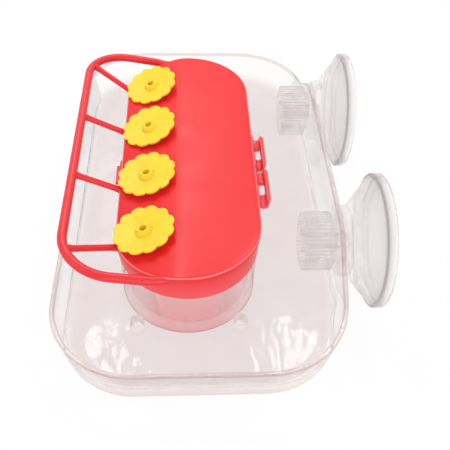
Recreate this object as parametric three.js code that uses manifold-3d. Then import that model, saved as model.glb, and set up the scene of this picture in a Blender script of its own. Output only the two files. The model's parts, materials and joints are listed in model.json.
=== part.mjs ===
// Window hummingbird feeder. A clear tray hangs on the glass by two suction cups. A clear nectar reservoir
// stands in the tray, under a hinged red lid that carries four flower ports and a raised perch.
// Millimetres, +Z up, +X towards the window, Y along the tray. The origin is under the middle of the
// feeder's box, at the height of its lowest point.
import * as THREE from "three";
import { mergeVertices } from "three/addons/utils/BufferGeometryUtils.js";
import Module from "manifold-3d";

const wasm = await Module();
wasm.setup();

// Tray
const trayLength = 224;
const trayWidth = 124;
const trayCornerRadius = 36;
const trayHeight = 20;
const trayLean = 3.4; // each wall leans out by this much from its foot to its rim
const trayWall = 2.2;
const trayFloor = 2.2;
const trayFootBevel = 0.8;
const trayCove = 4; // inside radius between the floor and the walls
const windowWallAboveNut = 0.9;
const windowWallPastCup = 39.5; // from a cup's axis to the end of the raised wall
const windowWallShoulder = 40; // length over which each end of the raised wall falls to the rim
const uprightPastCup = 32; // from a cup's axis to where the wall leans in full
const windowWallTurn = 18; // length over which the leaning wall turns upright

// Locating posts on the tray's floor, round the reservoir's ends
const postDiameter = 6;
const postHeight = 8;
const postDome = 1.2;
const postCrown = 0.3;
const postGap = 2.5;
const postAngle = THREE.MathUtils.degToRad(38.5); // from the tray's length

// Place of the reservoir on the tray's floor, from the tray's middle
const seatX = -4.7;
const seatY = -3.5;

// Suction cups
const cupSpacing = 95;
const cupAxisHeight = 25;
const cupDiameter = 60;
const cupDepth = 18; // from the tray's wall to the glass
const cupRimThickness = 4;
const cupRimStep = 1.3;
const cupRimBevel = 0.6;
const cupLipWidth = 2.4; // flat ring that meets the glass
const cupNeckDiameter = 32;
const cupNeckLength = 3.5;
const cupCrown = 2.4; // between the stud's head and the hollow
const cupHollowShoulder = 20; // radius out to which the hollow's top stays nearly flat

// Studs, each with its head held in a cup's neck
const studDiameter = 6;
const studHeadDiameter = 18;
const studHeadThickness = 2.4;
const studHeadDepth = 4.6; // from the tray's wall to the head
const studShortOfNut = 2.5; // the stud ends this far inside the nut's free end
const studGap = 0.3;

// Thumb nuts
const nutDiameter = 26.2;
const nutLength = 14.4;
const nutFlutes = 48;
const nutFluteDepth = 0.35;
const nutCollarDiameter = 20;
const nutCollarLength = 1.6;
const nutRecessDiameter = 19;
const nutRecessDepth = 7;
const nutBossDiameter = 10.6;
const wallSeatGap = 0.2; // between the tray's wall and what bears on it

// Reservoir
const reservoirLength = 153;
const reservoirWidth = 59.8;
const reservoirHeight = 30.3;
const reservoirWall = 2.6;
const reservoirFloor = 2.2;
const reservoirFootRecess = 1;
const neckHeight = 5.9;
const neckInset = 1.3;
const ribLength = 9; // catch rib under the latch tab
const ribReach = 0.7;
const ribBelowStep = 1.5;

// Lid
const lidGap = 0.4; // round the reservoir's neck and under the skirt
const lidWall = 1.2;
const lidPlate = 2;
const lipOverhang = 0.7;
const lipHeight = 3.5;
const lidSlope = THREE.MathUtils.degToRad(11); // the flower side falls away at this angle
const creaseOffset = 3.3; // from the lid's middle to the top of the slope
const rimClearance = 1.4; // from the reservoir's rim to the lid's underside at its low edge
const latchLength = 12;
const latchThickness = 1.8;
const latchRise = 1.6;
const latchDrop = 3.2;
const latchLipReach = 1.8;
const latchLipHeight = 1.6;
const latchGap = 0.3;

// Hinge
const pinDiameter = 2.8;
const pinGap = 0.3;
const hingeReach = 4.8; // from the reservoir's side to the pin's axis
const hingeRise = 1.2; // from the skirt's lower edge to the pin's axis
const hookLength = 22.2;
const hookWall = 1.7;
const hookRise = 1.6;
const hookRoot = 0.4; // how deep the hook is rooted in the skirt
const hookHeel = THREE.MathUtils.degToRad(200); // where the hook's curve leaves its root
const hookWindow = 8;
const lugThickness = 2;
const lugDiameter = 4.6;
const lugRoot = 0.6;
const lugDepth = 6.5;
const lugToe = THREE.MathUtils.degToRad(30); // where the lug's lower edge meets its eye
const lugGap = 0.3;

// Perch
const railDiameter = 4;
const perchReach = 19.7; // from the lid's lip to the outer run of the rail
const perchCorner = 20;
const perchInset = 1.3; // the rail's ends lie this far inside the lid's ends
const perchRun = 6.3; // the rail's ends stop this far short of the lid's middle
const perchSlope = THREE.MathUtils.degToRad(9.9);
const railBelowTop = 4.8; // depth of the rail's axis under the lid's top, at the crease
const strutDiameter = 2.8;
const middleStrutsAtLid = 40.6; // between the two middle struts
const middleStrutsAtRail = 41.4;
const outerStrutAtLid = 22.9; // from the lid's end to the outer strut
const outerStrutAtRail = 12.2; // from the rail's end run to the outer strut
const joinGap = 0.3;

// Flower ports
const flowerCount = 4;
const flowerPitch = 34.3;
const flowerOffset = 14.5; // from the crease down the slope, in plan
const flowerDiameter = 26.8;
const petalCount = 12;
const petalNotch = 1.4;
const petalThickness = 1.3;
const petalLift = 1.0; // underside of the petals above the lid, at the collar
const petalRise = 1.6; // how much higher the petals' tips are
const collarDiameter = 9;
const plugDiameter = 7;
const plugLength = 5; // below the lid's plate
const nubDiameter = 7;
const nubTopDiameter = 5;
const nubHeight = 2.2;
const portDiameter = 3.2;
const flowerGap = 0.3;

// Fineness of round shapes, in facets
const roundFacets = 28;
const smallFacets = 12;
const arcFacets = 24; // round a half circle of an outline
const cornerFacets = 10;
const wallFacets = 24;
const coveFacets = 3;
const petalFacets = 6;
const fluteFacets = 4;
const hollowFacets = 6;
const railSteps = 52;
const railSides = 10;
const hookFacets = 8; // round a half circle of a hook
const cutMargin = 1; // cutting shapes run this far past the faces that they cut
const weld = 1e-4;

// Working sizes
const nutRadius = nutDiameter / 2;
const windowWallHeight = cupAxisHeight + nutRadius + windowWallAboveNut;
const windowWallEnd = cupSpacing / 2 + windowWallPastCup;
const uprightEnd = cupSpacing / 2 + uprightPastCup;
const bodyHalfWidth = reservoirWidth / 2;
const bodyHalfLength = reservoirLength / 2;
const neckHalfWidth = bodyHalfWidth - neckInset;
const neckHalfLength = bodyHalfLength - neckInset;
const wellHalfWidth = bodyHalfWidth - reservoirWall;
const wellHalfLength = bodyHalfLength - reservoirWall;
const stepHeight = reservoirHeight - neckHeight;
const skirtBottom = stepHeight + lidGap;
const skirtHalfWidth = neckHalfWidth + lidGap + lidWall;
const skirtHalfLength = neckHalfLength + lidGap + lidWall;
const lipHalfWidth = skirtHalfWidth + lipOverhang;
const lipHalfLength = skirtHalfLength + lipOverhang;
const plateHeight = lidPlate / Math.cos(lidSlope); // upright thickness of the plate on the slope
const slopeFall = (neckHalfWidth + lidGap - creaseOffset) * Math.tan(lidSlope);
const lidTop = reservoirHeight + rimClearance + plateHeight + slopeFall;
const hingeX = bodyHalfWidth + hingeReach;
const hingeZ = skirtBottom + hingeRise;
const railOuterX = -(lipHalfWidth + perchReach);
const railHalfLength = lipHalfLength - perchInset;

// Turns a closed geometry into a solid that can be joined and cut.
function solid(geometry) {
  const bare = geometry.clone();
  bare.deleteAttribute("normal");
  bare.deleteAttribute("uv");
  const merged = mergeVertices(bare, weld);
  const corners = merged.index.array;
  const faces = [];
  for (let i = 0; i < corners.length; i += 3) {
    const [a, b, c] = [corners[i], corners[i + 1], corners[i + 2]];
    if (a !== b && b !== c && c !== a) faces.push(a, b, c);
  }
  const mesh = new wasm.Mesh({
    numProp: 3,
    vertProperties: merged.attributes.position.array,
    triVerts: new Uint32Array(faces),
  });
  return new wasm.Manifold(mesh);
}

// Turns a finished solid into a named mesh with its own finish.
function part(name, body, colour, roughness, opacity = 1) {
  const faces = body.getMesh();
  const geometry = new THREE.BufferGeometry();
  geometry.setAttribute("position", new THREE.BufferAttribute(faces.vertProperties, 3));
  geometry.setIndex(new THREE.BufferAttribute(faces.triVerts, 1));
  geometry.computeVertexNormals();
  const material = new THREE.MeshStandardMaterial({
    color: colour,
    roughness,
    metalness: 0,
    transparent: opacity < 1,
    opacity,
  });
  const mesh = new THREE.Mesh(geometry, material);
  mesh.name = name;
  return mesh;
}

const clearPart = (name, body) => part(name, body, 0xe9e4e2, 0.08, 0.3);
const softClearPart = (name, body) => part(name, body, 0xe6e2e0, 0.2, 0.4);
const redPart = (name, body) => part(name, body, 0xf03c3c, 0.28);
const yellowPart = (name, body) => part(name, body, 0xfadc46, 0.35);

// Extrudes an outline drawn in plan between two heights.
function slab(outline, bottom, top) {
  const options = { depth: top - bottom, bevelEnabled: false, curveSegments: arcFacets / 2 };
  return solid(new THREE.ExtrudeGeometry(outline, options).translate(0, 0, bottom));
}

// Extrudes an outline drawn in X and Z between two places along Y.
function bar(outline, near, far) {
  const options = { depth: far - near, bevelEnabled: false, curveSegments: hookFacets / 2 };
  const geometry = new THREE.ExtrudeGeometry(outline, options);
  return solid(geometry.rotateX(Math.PI / 2).translate(0, far, 0));
}

// Turns a profile of [radius, height] pairs about the Z axis.
function turned(profile, facets = roundFacets) {
  const points = profile.map(([radius, height]) => new THREE.Vector2(radius, height));
  return solid(new THREE.LatheGeometry(points, facets).rotateX(Math.PI / 2));
}

// A plain round bar about the Z axis, between two heights.
function round(diameter, bottom, top, facets = roundFacets) {
  const radius = diameter / 2;
  return turned([[0, bottom], [radius, bottom], [radius, top], [0, top]], facets);
}

// A block between two opposite corners.
function block(low, high) {
  const geometry = new THREE.BoxGeometry(high[0] - low[0], high[1] - low[1], high[2] - low[2]);
  return solid(geometry.translate((low[0] + high[0]) / 2, (low[1] + high[1]) / 2, (low[2] + high[2]) / 2));
}

// Carries a round section along a path.
function tube(path, diameter, steps) {
  const section = new THREE.Shape().absarc(0, 0, diameter / 2, 0, 2 * Math.PI, false);
  const options = { steps, extrudePath: path, bevelEnabled: false, curveSegments: railSides / 2 };
  return solid(new THREE.ExtrudeGeometry(section, options));
}

// Joins rings of points, all in the same order, into one closed body with a flat face over each end.
function loft(rings) {
  const count = rings[0].length;
  const lastStart = (rings.length - 1) * count;
  const points = rings.flat();
  const firstCentre = points.length;
  const lastCentre = firstCentre + 1;
  const middle = (ring) => ring.reduce((sum, p) => sum.add(p), new THREE.Vector3()).divideScalar(count);
  points.push(middle(rings[0]), middle(rings.at(-1)));
  const faces = [];
  for (let i = 0; i < count; i++) {
    const next = (i + 1) % count;
    for (let start = 0; start < lastStart; start += count) {
      faces.push(start + i, start + next, start + count + next);
      faces.push(start + i, start + count + next, start + count + i);
    }
    faces.push(firstCentre, next, i);
    faces.push(lastCentre, lastStart + i, lastStart + next);
  }
  const geometry = new THREE.BufferGeometry().setFromPoints(points);
  geometry.setIndex(faces);
  return solid(geometry);
}

// A straight-sided outline with two half-round ends.
function stadium(halfWidth, halfLength) {
  const run = halfLength - halfWidth;
  const outline = new THREE.Shape();
  outline.absarc(0, run, halfWidth, 0, Math.PI, false);
  outline.absarc(0, -run, halfWidth, Math.PI, 2 * Math.PI, false);
  return outline;
}

// Stations round the tray's rim, anticlockwise from above: place, facing, height of the raised wall above the
// rim, and how far the wall there has turned upright.
function trayStations() {
  const straightX = trayWidth / 2 - trayCornerRadius;
  const straightY = trayLength / 2 - trayCornerRadius;
  const stations = [];
  const add = (x, y, angle) => {
    const facing = new THREE.Vector2(Math.cos(angle), Math.sin(angle));
    const along = Math.abs(y);
    const fall = THREE.MathUtils.smoothstep(along, windowWallEnd - windowWallShoulder, windowWallEnd);
    const rise = x > 0 ? (windowWallHeight - trayHeight) * (1 - fall) : 0;
    const turn = THREE.MathUtils.smoothstep(along, uprightEnd - windowWallTurn, uprightEnd);
    stations.push({ x, y, facing, rise, upright: x > 0 ? 1 - turn : 0 });
  };
  for (let i = 1; i < wallFacets; i++) {
    add(trayWidth / 2, straightY * (2 * i / wallFacets - 1), 0);
  }
  for (let corner = 0; corner < 4; corner++) {
    const middleX = corner === 0 || corner === 3 ? straightX : -straightX;
    const middleY = corner < 2 ? straightY : -straightY;
    for (let i = 0; i <= cornerFacets; i++) {
      const angle = (corner + i / cornerFacets) * Math.PI / 2;
      const x = middleX + trayCornerRadius * Math.cos(angle);
      const y = middleY + trayCornerRadius * Math.sin(angle);
      add(x, y, angle);
    }
  }
  return stations;
}

// The tray's shell, lofted up the outside, over the rim and down the inside, with its posts and stud holes.
function makeTray() {
  const stations = trayStations();
  const ring = (depth, height) => stations.map(({ x, y, facing, rise, upright }) => {
    const z = height ?? trayHeight + rise;
    const lean = (1 - upright) * trayLean * Math.max(0, 1 - z / trayHeight);
    const inset = depth + lean;
    return new THREE.Vector3(x - facing.x * inset, y - facing.y * inset, z);
  });
  const rings = [ring(trayFootBevel, 0), ring(0, trayFootBevel), ring(0), ring(trayWall)];
  for (let i = 0; i <= coveFacets; i++) {
    const angle = i / coveFacets * Math.PI / 2;
    const depth = trayWall + trayCove * (1 - Math.cos(angle));
    rings.push(ring(depth, trayFloor + trayCove * (1 - Math.sin(angle))));
  }
  let body = loft(rings);
  const holeStart = trayWidth / 2 - trayWall - cutMargin;
  const hole = round(studDiameter + 2 * studGap, holeStart, trayWidth / 2 + cutMargin, smallFacets);
  for (const side of [-1, 1]) {
    body = body.subtract(hole.rotate([0, 90, 0]).translate([0, side * cupSpacing / 2, cupAxisHeight]));
  }
  const postRadius = postDiameter / 2;
  const post = turned([
    [0, trayFloor / 2],
    [postRadius, trayFloor / 2],
    [postRadius, trayFloor + postHeight - postDome],
    [postRadius - postDome, trayFloor + postHeight - postCrown],
    [0, trayFloor + postHeight],
  ], smallFacets);
  const orbit = bodyHalfWidth + postGap + postRadius;
  for (const side of [-1, 1]) {
    for (const end of [-1, 1]) {
      const x = seatX + side * orbit * Math.sin(postAngle);
      const y = seatY + end * (bodyHalfLength - bodyHalfWidth + orbit * Math.cos(postAngle));
      body = body.add(post.translate([x, y, 0]));
    }
  }
  return clearPart("tray", body);
}

// A suction cup along +Z from the tray's wall to the glass, with a pocket for the stud's head.
function makeCup(name) {
  const rim = cupDiameter / 2;
  const neck = cupNeckDiameter / 2;
  const bore = studDiameter / 2 + studGap;
  const pocket = studHeadDiameter / 2 + studGap;
  const pocketBottom = studHeadDepth - studGap;
  const pocketTop = studHeadDepth + studHeadThickness + studGap;
  const hollowTop = pocketTop + cupCrown;
  const hollow = new THREE.QuadraticBezierCurve(
    new THREE.Vector2(rim - cupLipWidth, cupDepth),
    new THREE.Vector2(cupHollowShoulder, hollowTop),
    new THREE.Vector2(0, hollowTop),
  );
  const rimBack = cupDepth - cupRimThickness;
  const outside = [
    [0, pocketTop],
    [pocket, pocketTop],
    [pocket, pocketBottom],
    [bore, pocketBottom],
    [bore, wallSeatGap],
    [neck, wallSeatGap],
    [neck, cupNeckLength],
    [rim - cupRimStep, rimBack],
    [rim, rimBack],
    [rim, cupDepth - cupRimBevel],
    [rim - cupRimBevel, cupDepth],
  ];
  const inside = hollow.getPoints(hollowFacets).map((p) => [p.x, p.y]);
  return softClearPart(name, turned([...outside, ...inside]));
}

// A stud along +Z, from inside the nut to its head in the cup's neck.
function makeStud(name) {
  const shank = studDiameter / 2;
  const head = studHeadDiameter / 2;
  const freeEnd = studShortOfNut - nutLength - wallSeatGap - trayWall;
  const headTop = studHeadDepth + studHeadThickness;
  const profile = [
    [0, freeEnd],
    [shank, freeEnd],
    [shank, studHeadDepth],
    [head, studHeadDepth],
    [head, headTop],
    [0, headTop],
  ];
  return clearPart(name, turned(profile, smallFacets));
}

// A fluted thumb nut below the tray's wall, with a boss for the thread inside its hollow free end.
function makeNut(name) {
  const bearing = -trayWall - wallSeatGap;
  const freeEnd = bearing - nutLength;
  const flutePoints = [];
  for (let i = 0; i < nutFlutes * fluteFacets; i++) {
    const angle = i / (nutFlutes * fluteFacets) * 2 * Math.PI;
    const radius = nutRadius - nutFluteDepth * Math.abs(Math.sin(nutFlutes * angle / 2));
    flutePoints.push(new THREE.Vector2(radius * Math.cos(angle), radius * Math.sin(angle)));
  }
  const grip = slab(new THREE.Shape(flutePoints), freeEnd, bearing - nutCollarLength);
  const collar = round(nutCollarDiameter, bearing - 2 * nutCollarLength, bearing);
  const boss = round(nutBossDiameter, freeEnd - cutMargin, freeEnd + nutRecessDepth, smallFacets);
  const recess = round(nutRecessDiameter, freeEnd - cutMargin, freeEnd + nutRecessDepth).subtract(boss);
  const bore = round(studDiameter + 2 * studGap, freeEnd - cutMargin, cutMargin, smallFacets);
  return clearPart(name, grip.add(collar).subtract(recess).subtract(bore));
}

// The reservoir: a body with a narrower neck, the hinge lugs and pin, and the catch rib for the latch.
function makeReservoir() {
  const outside = slab(stadium(bodyHalfWidth, bodyHalfLength), 0, stepHeight);
  const neck = slab(stadium(neckHalfWidth, neckHalfLength), 0, reservoirHeight);
  const wellBottom = reservoirFootRecess + reservoirFloor;
  const well = slab(stadium(wellHalfWidth, wellHalfLength), wellBottom, reservoirHeight + cutMargin);
  const recess = slab(stadium(wellHalfWidth, wellHalfLength), -cutMargin, reservoirFootRecess);
  let body = outside.add(neck).subtract(well).subtract(recess);
  const lugRadius = lugDiameter / 2;
  const gusset = new THREE.Shape();
  gusset.moveTo(bodyHalfWidth - lugRoot, hingeZ - lugDepth);
  gusset.lineTo(hingeX + lugRadius * Math.cos(lugToe), hingeZ - lugRadius * Math.sin(lugToe));
  gusset.lineTo(hingeX, hingeZ);
  gusset.lineTo(bodyHalfWidth - lugRoot, stepHeight - lidGap);
  const lugStep = lugThickness + 2 * lugGap + hookLength;
  for (const place of [-1, 0, 1]) {
    const near = place * lugStep - lugThickness / 2;
    const eye = round(lugDiameter, 0, lugThickness, smallFacets).rotate([-90, 0, 0]);
    body = body.add(eye.translate([hingeX, near, hingeZ]));
    body = body.add(bar(gusset, near, near + lugThickness));
  }
  const pin = round(pinDiameter, -lugStep, lugStep, smallFacets).rotate([-90, 0, 0]);
  const rib = round(2 * ribReach, -ribLength / 2, ribLength / 2, smallFacets).rotate([-90, 0, 0]);
  body = body.add(pin.translate([hingeX, 0, hingeZ]));
  body = body.add(rib.translate([-bodyHalfWidth, 0, stepHeight - ribBelowStep]));
  return clearPart("reservoir", body);
}

// Height of the lid's top: level over the reservoir's window side, falling away under the flowers.
function roofHeight(x) {
  return lidTop - Math.max(0, -creaseOffset - x) * Math.tan(lidSlope);
}

// Everything under the lid's top, lowered by a depth.
function underRoof(depth) {
  const reach = lipHalfWidth + cutMargin;
  const outline = new THREE.Shape();
  outline.moveTo(reach, 0);
  outline.lineTo(reach, roofHeight(reach) - depth);
  outline.lineTo(-creaseOffset, lidTop - depth);
  outline.lineTo(-reach, roofHeight(-reach) - depth);
  outline.lineTo(-reach, 0);
  return bar(outline, -lipHalfLength - cutMargin, lipHalfLength + cutMargin);
}

// A hinge hook, open upwards, that cradles the pin. It is rooted in the skirt, and its floor has a window.
function makeHook(near) {
  const inner = pinDiameter / 2 + pinGap;
  const outer = inner + hookWall;
  const root = skirtHalfWidth - hookRoot - hingeX;
  const outline = new THREE.Shape();
  outline.moveTo(root, hookRise);
  outline.lineTo(root, -hingeRise);
  outline.absarc(0, 0, outer, hookHeel, 2 * Math.PI, false);
  outline.lineTo(outer, hookRise);
  outline.lineTo(inner, hookRise);
  outline.absarc(0, 0, inner, 2 * Math.PI, Math.PI, true);
  outline.lineTo(-inner, hookRise);
  const middle = near + hookLength / 2;
  const window = block(
    [-inner, middle - hookWindow / 2, -outer - cutMargin],
    [inner, middle + hookWindow / 2, 0],
  );
  return bar(outline, near, near + hookLength).subtract(window).translate([hingeX, 0, hingeZ]);
}

// The latch tab hangs from the skirt, clear of the catch rib, with a thumb lip along its lower edge.
function makeLatch() {
  const half = latchLength / 2;
  const innerX = -bodyHalfWidth - ribReach - latchGap;
  const outerX = Math.min(innerX, -skirtHalfWidth) - latchThickness;
  const low = skirtBottom - latchDrop;
  const high = skirtBottom + latchRise;
  const tab = block([outerX, -half, low], [innerX, half, high]);
  const root = block([outerX, -half, skirtBottom], [-skirtHalfWidth + lidWall / 2, half, high]);
  const lip = block([outerX - latchLipReach, -half, low], [innerX, half, low + latchLipHeight]);
  return tab.add(root).add(lip);
}

const flowerPlaces = Array.from({ length: flowerCount }, (_, i) => {
  const x = -creaseOffset - flowerOffset;
  return new THREE.Vector3(x, (i - (flowerCount - 1) / 2) * flowerPitch, roofHeight(x));
});

// The lid: a sloped cover with an overhanging lip, hollow below, with the flower holes, hooks and latch.
function makeLid() {
  const above = lidTop + cutMargin;
  const roof = underRoof(0);
  const skirt = slab(stadium(skirtHalfWidth, skirtHalfLength), skirtBottom, above).intersect(roof);
  const rim = slab(stadium(lipHalfWidth, lipHalfLength), skirtBottom, above).intersect(roof);
  const lip = rim.subtract(underRoof(lipHeight));
  const hollow = slab(
    stadium(skirtHalfWidth - lidWall, skirtHalfLength - lidWall),
    skirtBottom - cutMargin,
    above,
  );
  let body = skirt.add(lip).subtract(hollow.intersect(underRoof(plateHeight)));
  const tilt = [0, -THREE.MathUtils.radToDeg(lidSlope), 0];
  const holeDepth = lidPlate + cutMargin;
  const hole = round(plugDiameter + 2 * flowerGap, -holeDepth, cutMargin, smallFacets).rotate(tilt);
  for (const place of flowerPlaces) {
    body = body.subtract(hole.translate(place.toArray()));
  }
  const hookStart = lugThickness / 2 + lugGap;
  body = body.add(makeHook(hookStart)).add(makeHook(-hookStart - hookLength)).add(makeLatch());
  return redPart("lid_cover", body);
}

// Height of the rail's axis: the perch rises evenly away from the lid.
function railHeight(x) {
  return lidTop - railBelowTop - (x + creaseOffset) * Math.tan(perchSlope);
}

// Where the rail's outer run, or one of its round corners, lies at a place along the lid.
function railX(y) {
  const past = Math.max(0, Math.abs(y) - railHalfLength + perchCorner);
  return railOuterX + perchCorner - Math.sqrt(perchCorner * perchCorner - past * past);
}

// Where the lid's lip lies on the perch side, at a place along the lid.
function lipX(y) {
  const past = Math.max(0, Math.abs(y) - lipHalfLength + lipHalfWidth);
  return -Math.sqrt(lipHalfWidth * lipHalfWidth - past * past);
}

// The rail's axis: out from the far end of the lid, along the perch and back to the near end.
function railPath() {
  const at = (x, y) => new THREE.Vector3(x, y, railHeight(x));
  const roundness = 0.5523; // handle length that makes a cubic corner round
  const path = new THREE.CurvePath();
  const turnX = railOuterX + perchCorner;
  const turnY = railHalfLength - perchCorner;
  const corner = (from, apex, to) => {
    const start = from.clone().lerp(apex, roundness);
    const end = to.clone().lerp(apex, roundness);
    path.add(new THREE.CubicBezierCurve3(from, start, end, to));
  };
  path.add(new THREE.LineCurve3(at(-perchRun, railHalfLength), at(turnX, railHalfLength)));
  corner(at(turnX, railHalfLength), at(railOuterX, railHalfLength), at(railOuterX, turnY));
  path.add(new THREE.LineCurve3(at(railOuterX, turnY), at(railOuterX, -turnY)));
  corner(at(railOuterX, -turnY), at(railOuterX, -railHalfLength), at(turnX, -railHalfLength));
  path.add(new THREE.LineCurve3(at(turnX, -railHalfLength), at(-perchRun, -railHalfLength)));
  return path;
}

// Places of the struts along the lid's edge and along the rail.
const strutPlaces = [-1, 1].flatMap((side) => {
  const outer = [side * (lipHalfLength - outerStrutAtLid), side * (railHalfLength - outerStrutAtRail)];
  const middle = [side * middleStrutsAtLid / 2, side * middleStrutsAtRail / 2];
  return side < 0 ? [outer, middle] : [middle, outer];
});

// The perch: a rail that runs into the lid's ends, and four struts from the lid's edge to the rail.
function makePerch() {
  const lidClearance = slab(
    stadium(lipHalfWidth + joinGap, lipHalfLength + joinGap),
    0,
    lidTop + railDiameter + cutMargin,
  );
  const path = railPath();
  const rail = tube(path, railDiameter, railSteps).subtract(lidClearance);
  const railClearance = tube(path, railDiameter + 2 * joinGap, railSteps);
  const struts = strutPlaces.map(([lidY, railY], i) => {
    const x = railX(railY);
    const outerEnd = new THREE.Vector3(x, railY, railHeight(x));
    const edgeHeight = roofHeight(-lipHalfWidth) - lipHeight / 2;
    const innerEnd = new THREE.Vector3(lipX(lidY), lidY, edgeHeight);
    const line = new THREE.LineCurve3(outerEnd, innerEnd.lerp(outerEnd, -joinGap / perchReach));
    const strut = tube(line, strutDiameter, 1).subtract(railClearance).subtract(lidClearance);
    return redPart(`perch_strut_${i + 1}`, strut);
  });
  return [redPart("perch_rail", rail), ...struts];
}

// A flower port along +Z from the lid's slope: scalloped dish, nub with the feeding hole, collar and plug.
function makeFlower(name) {
  const count = petalCount * petalFacets;
  const tipRadius = flowerDiameter / 2;
  const ring = (radius, height, notch) => Array.from({ length: count }, (_, i) => {
    const angle = i / count * 2 * Math.PI;
    const lobe = Math.abs(Math.sin(petalCount * angle / 2));
    const reach = radius - notch * (1 - lobe);
    return new THREE.Vector3(reach * Math.cos(angle), reach * Math.sin(angle), height);
  });
  const collar = collarDiameter / 2;
  const nubBase = petalLift + petalThickness;
  const tipBase = petalLift + petalRise;
  const dish = loft([
    ring(collar, petalLift, 0),
    ring(tipRadius, tipBase, petalNotch),
    ring(tipRadius, tipBase + petalThickness, petalNotch),
    ring(collar, nubBase, 0),
  ]);
  const plugEnd = -lidPlate - plugLength;
  const stem = turned([
    [0, plugEnd],
    [plugDiameter / 2, plugEnd],
    [plugDiameter / 2, flowerGap],
    [collar, flowerGap],
    [collar, petalLift + petalThickness / 2],
    [nubDiameter / 2, nubBase],
    [nubTopDiameter / 2, nubBase + nubHeight],
    [0, nubBase + nubHeight],
  ]);
  const port = round(portDiameter, plugEnd - cutMargin, nubBase + nubHeight + cutMargin, smallFacets);
  return yellowPart(name, dish.add(stem).subtract(port));
}

// The reservoir with its lid, perch and flowers, standing on the tray's floor.
const feeder = new THREE.Group();
feeder.position.set(seatX, seatY, trayFloor);
feeder.add(makeReservoir(), makeLid(), ...makePerch());
flowerPlaces.forEach((place, i) => {
  const flower = makeFlower(`flower_${i + 1}`);
  flower.position.copy(place);
  flower.rotation.y = -lidSlope;
  feeder.add(flower);
});

// The tray with its two cups, whose axes point at the window.
const assembly = new THREE.Group();
assembly.add(makeTray(), feeder);
[-1, 1].forEach((side, i) => {
  const mount = new THREE.Group();
  mount.position.set(trayWidth / 2, side * cupSpacing / 2, cupAxisHeight);
  mount.rotation.y = Math.PI / 2;
  mount.add(makeCup(`suction_cup_${i + 1}`), makeStud(`cup_stud_${i + 1}`), makeNut(`thumb_nut_${i + 1}`));
  assembly.add(mount);
});
assembly.position.set(-cupDepth / 2, 0, Math.max(0, cupDiameter / 2 - cupAxisHeight));

export default assembly;
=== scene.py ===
"""Looks of a window hummingbird feeder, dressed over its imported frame.

Shapes are worked out in millimetres in the feeder's own frame: X towards the window, Y along the tray
and Z up. Each sub-assembly is a class that holds its sizes, builds its pieces and dresses them.
"""

import json
import logging
import math
from collections.abc import Sequence
from dataclasses import dataclass, field
from enum import Enum

import bmesh
import bpy
import numpy as np
from mathutils import Matrix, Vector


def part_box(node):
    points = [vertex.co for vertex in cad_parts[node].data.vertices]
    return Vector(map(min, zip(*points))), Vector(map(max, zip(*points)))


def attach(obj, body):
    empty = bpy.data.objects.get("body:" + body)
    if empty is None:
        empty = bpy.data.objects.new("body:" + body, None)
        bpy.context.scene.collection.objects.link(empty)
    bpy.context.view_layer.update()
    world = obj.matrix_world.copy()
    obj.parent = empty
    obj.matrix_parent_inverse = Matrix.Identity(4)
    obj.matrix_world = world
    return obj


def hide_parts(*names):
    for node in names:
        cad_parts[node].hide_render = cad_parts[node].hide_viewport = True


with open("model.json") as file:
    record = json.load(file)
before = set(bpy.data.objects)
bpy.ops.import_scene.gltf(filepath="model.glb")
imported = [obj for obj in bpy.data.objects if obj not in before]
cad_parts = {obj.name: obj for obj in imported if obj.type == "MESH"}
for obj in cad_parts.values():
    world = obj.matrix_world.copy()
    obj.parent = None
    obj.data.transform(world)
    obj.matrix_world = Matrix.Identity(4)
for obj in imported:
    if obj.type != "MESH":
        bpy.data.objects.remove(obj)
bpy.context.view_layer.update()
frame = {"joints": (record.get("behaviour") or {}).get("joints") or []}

LOG = logging.getLogger("feeder")
MM = 0.001
TAU = 2 * math.pi
QUARTER = math.pi / 2

# Fineness of the meshes. Points of a piece closer than the weld, in metres, become one, and so do points of
# a profile closer than the speck, in millimetres.
WELD = 2e-6
SPECK = 1e-6
SOFT_SEGMENTS = 3
SOFT_ANGLE = math.radians(40)
ROUND_STEPS = 6
SMALL_FACETS = 40
PLAN_STEPS = 61

# Sizes that several pieces share
RESERVOIR_SIDE = 29.9
RESERVOIR_RUN = 46.6
HINGE_REACH = 4.8
FLOWER_LEANS = ((2.7, -0.6), (2.3, 1.7), (6.7, 4.4), (7.0, 7.0))

Corner = tuple[float, float, float]
Colour = tuple[float, float, float]
Piece = bpy.types.Object
Material = bpy.types.Material
Tree = bpy.types.NodeTree
Socket = bpy.types.NodeSocket
Source = Socket | float | Sequence[float]


class Joining(Enum):
    """How a second solid is put together with a first."""

    ADD = "UNION"
    CUT = "DIFFERENCE"


# Shapes


def rounded(corners: Sequence[Corner], closed: bool = False) -> np.ndarray:
    """Draws a profile whose corners are rounded off by quadratic curves.

    Each curve leaves one side of its corner at the corner's setback and meets the other side at the same one.

    Args:
        corners: Across, up and setback of each corner.
        closed: Whether the last corner joins the first.

    Returns:
        Points of the profile, two numbers a row.
    """
    points = np.array([corner[:2] for corner in corners], float)
    setback = np.array([corner[2] for corner in corners])[:, None]
    back = np.roll(points, 1, axis=0) - points
    ahead = np.roll(points, -1, axis=0) - points
    start = points + back / np.linalg.norm(back, axis=1, keepdims=True) * setback
    end = points + ahead / np.linalg.norm(ahead, axis=1, keepdims=True) * setback
    t = np.linspace(0, 1, ROUND_STEPS)[None, :, None]
    curves = (1 - t) ** 2 * start[:, None] + 2 * t * (1 - t) * points[:, None] + t**2 * end[:, None]
    path = curves.reshape(-1, 2)
    follower = np.roll(path, -1, axis=0)
    keep = np.linalg.norm(follower - path, axis=1) > SPECK
    if not closed:
        keep[-1] = True
    return path[keep]


def bar(radius: float, low: float, high: float, setback: float = 0.0) -> np.ndarray:
    """Draws half the section of a round bar between two heights, with a setback at its rims."""
    return rounded([(0, low, 0), (radius, low, setback), (radius, high, setback), (0, high, 0)])


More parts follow.
